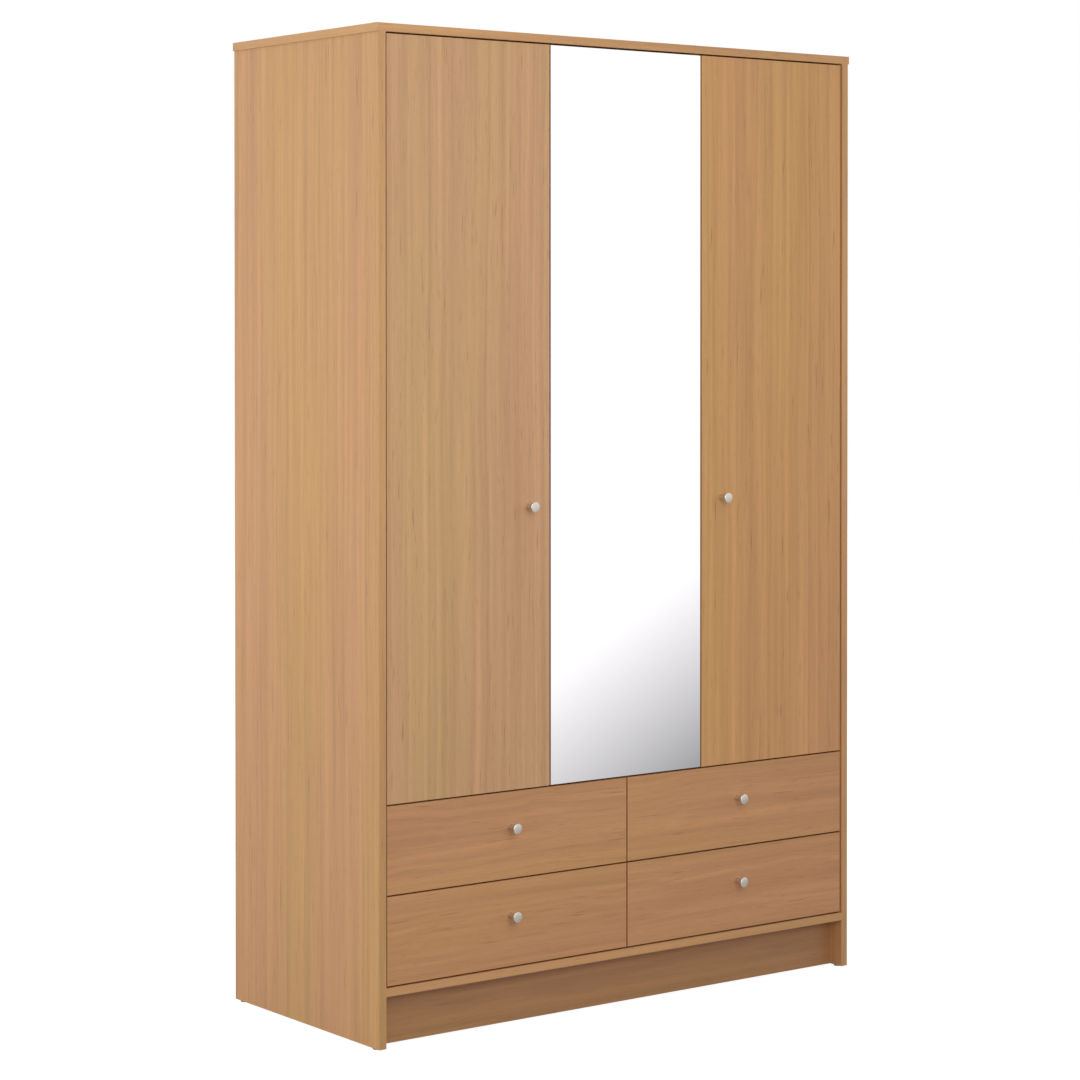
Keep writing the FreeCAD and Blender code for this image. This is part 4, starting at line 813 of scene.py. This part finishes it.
@dataclass
class Drawer:
    """One drawer: front, box, bottom and knob."""

    name: str
    seed: float
    base: str = "#C99364"
    rise_mm: float = 0.0

    def dress(self, kit: FinishKit) -> None:
        """Give the drawer's pieces their finishes."""
        dress_in_oak(
            f"{self.name}_front", Grain.ACROSS, self.seed, base=self.base, pith_mm=(34.0, self.rise_mm),
            end_grain=Grain.UPRIGHT, rear_is_bare=False, wander_length_mm=240.0, wander_mm=30.0,
        )
        for place, part in enumerate(("left_side", "right_side")):
            dress_in_oak(f"{self.name}_{part}", Grain.DEEP, self.seed + 20 + place, pith_mm=(60.0, 0.0))
        dress_in_oak(f"{self.name}_back", Grain.ACROSS, self.seed + 30, pith_mm=(60.0, 0.0))
        dress(f"{self.name}_bottom", kit.drawer_sheet)
        dress(f"{self.name}_knob", kit.satin_nickel)

    def build(self, kit: FinishKit) -> None:
        """Add the screw of the drawer's knob."""
        KnobScrew(f"{self.name}_knob", f"{self.name}_front", self.name).build(kit)


# ---------------------------------------------------------------- studio
@dataclass(frozen=True)
class SoftBox:
    """One rectangular studio light."""

    name: str
    place: tuple[float, float, float]
    target: tuple[float, float, float]
    size: tuple[float, float]
    power: float

    def build(self) -> None:
        """Add the light."""
        lamp = bpy.data.lights.new(self.name, "AREA")
        lamp.shape = "RECTANGLE"
        lamp.size, lamp.size_y = self.size
        lamp.energy = self.power
        holder = bpy.data.objects.new(self.name, lamp)
        holder.location = self.place
        aim = Vector(self.target) - Vector(self.place)
        holder.rotation_euler = aim.to_track_quat("-Z", "Y").to_euler()
        bpy.context.scene.collection.objects.link(holder)


@dataclass
class Studio:
    """A white room, soft lights and the camera."""

    eye: tuple[float, float, float] = (-3.3635, -4.5201, 1.2868)
    heading_deg: float = -37.59
    pitch_deg: float = -0.72
    lens_mm: float = 97.3
    shift_x: float = -0.055
    shift_y: float = -0.171
    sensor_mm: float = 36.0
    ambient: float = 0.575
    floor_half: float = 9.0
    floor_glow: float = 0.90
    floor_pale: float = 0.30
    heading_span_deg: tuple[float, float] = (32.8, 40.8)
    tilt_deg: float = 3.04
    drop_deg: tuple[float, float] = (7.0, 11.1)
    grey_at_drop: tuple[float, float] = (1.06, 0.325)
    foot_drop_deg: tuple[float, float] = (16.0, 50.0)
    foot_lift: float = 0.60
    lights: tuple[SoftBox, ...] = (
        SoftBox("key_level", (-0.7, -2.4, 1.5), (-0.1, -0.25, 1.4), (1.2, 1.2), 15.3),
        SoftBox("key_left", (-2.2, -3.0, 1.5), (-0.1, -0.25, 1.3), (1.2, 1.2), 3.0),
        SoftBox("key_high", (-0.9, -2.3, 3.1), (-0.1, -0.25, 1.3), (1.4, 1.0), 4.5),
        SoftBox("side", (-2.9, 0.1, 1.4), (-0.55, 0.0, 1.3), (1.2, 1.2), 23.5),
        SoftBox("rear", (2.6, 2.8, 2.6), (0.3, 0.2, 1.1), (1.8, 1.4), 45.0),
    )

    def build(self) -> None:
        """Set up floor, surround, lights and camera."""
        bpy.context.scene.view_settings.view_transform = "Standard"
        self.build_floor()
        self.build_surround()
        for light in self.lights:
            light.build()
        self.build_camera()

    def build_floor(self) -> None:
        """Add the pale floor: it looks near white, and bounces light as a mid grey card does."""
        bpy.ops.mesh.primitive_plane_add(size=2 * self.floor_half, location=(0.0, 0.0, 0.0))
        floor = bpy.context.active_object
        floor.name = "floor"
        material, tree = start_material("studio_floor")
        card = add_node(tree, "BsdfDiffuse", {"Color": linear("#A8A8A8")})
        pale = add_node(tree, "BsdfDiffuse", {"Color": (*[self.floor_pale] * 3, 1.0)})
        glow = add_node(tree, "Emission", {"Color": (1.0, 1.0, 1.0, 1.0), "Strength": self.floor_glow})
        seen = add_node(tree, "AddShader", {0: glow[0], 1: pale[0]})
        clear = add_node(tree, "BsdfTransparent")
        path = add_node(tree, "LightPath")
        unseen = add_node(tree, "MixShader", {0: path["Is Glossy Ray"], 1: card[0], 2: clear[0]})
        mixed = add_node(tree, "MixShader", {0: path["Is Camera Ray"], 1: unseen[0], 2: seen[0]})
        add_node(tree, "OutputMaterial", {"Surface": mixed[0]})
        floor.data.materials.append(material)

    def build_surround(self) -> None:
        """Light the scene from a white room that polished surfaces see greying towards the floor."""
        world = bpy.data.worlds.new("studio_surround")
        world.use_nodes = True
        bpy.context.scene.world = world
        tree = world.node_tree
        tree.nodes.clear()
        spot = add_node(tree, "TexCoord")
        axes = add_node(tree, "SeparateXYZ", {0: spot["Generated"]})
        rise = add_node(tree, "Math", {0: axes["Z"]}, operation="ARCSINE")[0]
        front = add_node(tree, "Math", {0: axes["Y"], 1: -1.0}, operation="MULTIPLY")[0]
        heading = add_node(tree, "Math", {0: axes["X"], 1: front}, operation="ARCTAN2")[0]
        side = add_node(tree, "MapRange", {
            "Value": heading,
            "From Min": math.radians(self.heading_span_deg[0]),
            "From Max": math.radians(self.heading_span_deg[1]),
            "To Min": -self.tilt_deg, "To Max": self.tilt_deg,
        })[0]
        drop = add_node(tree, "Math", {0: rise, 1: -180 / math.pi, 2: side}, operation="MULTIPLY_ADD")[0]
        grey = add_node(tree, "MapRange", {
            "Value": drop, "From Min": self.drop_deg[0], "From Max": self.drop_deg[1],
            "To Min": self.grey_at_drop[0], "To Max": self.grey_at_drop[1],
        })[0]
        # Steeper still, polished surfaces see the pale floor near the wardrobe's foot.
        lift = add_node(tree, "MapRange", {
            "Value": drop, "From Min": self.foot_drop_deg[0], "From Max": self.foot_drop_deg[1],
            "To Max": self.foot_lift,
        })[0]
        grey = add_node(tree, "Math", {0: grey, 1: lift}, operation="ADD")[0]
        path = add_node(tree, "LightPath")
        shown = add_node(tree, "Mix", {0: path["Is Glossy Ray"], 2: 1.0, 3: grey})[0]
        strength = add_node(tree, "Mix", {0: path["Is Diffuse Ray"], 2: shown, 3: self.ambient})[0]
        back = add_node(tree, "Background", {"Color": (1.0, 1.0, 1.0, 1.0), "Strength": strength})
        add_node(tree, "OutputWorld", {"Surface": back[0]})

    def build_camera(self) -> None:
        """Add the camera, off the wardrobe's left front corner at chest height."""
        camera = bpy.data.cameras.new("camera")
        camera.lens = self.lens_mm
        camera.sensor_width = self.sensor_mm
        camera.shift_x = self.shift_x
        camera.shift_y = self.shift_y
        holder = bpy.data.objects.new("camera", camera)
        holder.location = self.eye
        holder.rotation_euler = (math.radians(90.0 + self.pitch_deg), 0.0, math.radians(self.heading_deg))
        bpy.context.scene.collection.objects.link(holder)
        bpy.context.scene.camera = holder


def main() -> None:
    """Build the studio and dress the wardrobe."""
    logging.basicConfig(level=logging.INFO, format="%(name)s: %(message)s")
    Studio().build()
    kit = FinishKit()
    Carcass().dress(kit)
    CarcassHardware().build(kit)
    doors = (
        Door("left", 41.0, "#CDA073", (-25.0, 28.0), "left_side_panel"),
        Door("mirror", 42.0, "#CDA073", (10.0, 30.0), "wardrobe_partition"),
        Door("right", 43.0, "#D19B65", (-60.0, 30.0), "right_side_panel"),
    )
    for door in doors:
        door.dress(kit)
        door.build(kit)
    names = [f"{row}_{column}_drawer" for row in ROWS for column in COLUMNS]
    for place, name in enumerate(names):
        drawer = Drawer(name, 51.0 + place, rise_mm=12.0 * (place % 3 - 1))
        drawer.dress(kit)
        drawer.build(kit)
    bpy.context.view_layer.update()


if __name__ == "__main__":
    main()
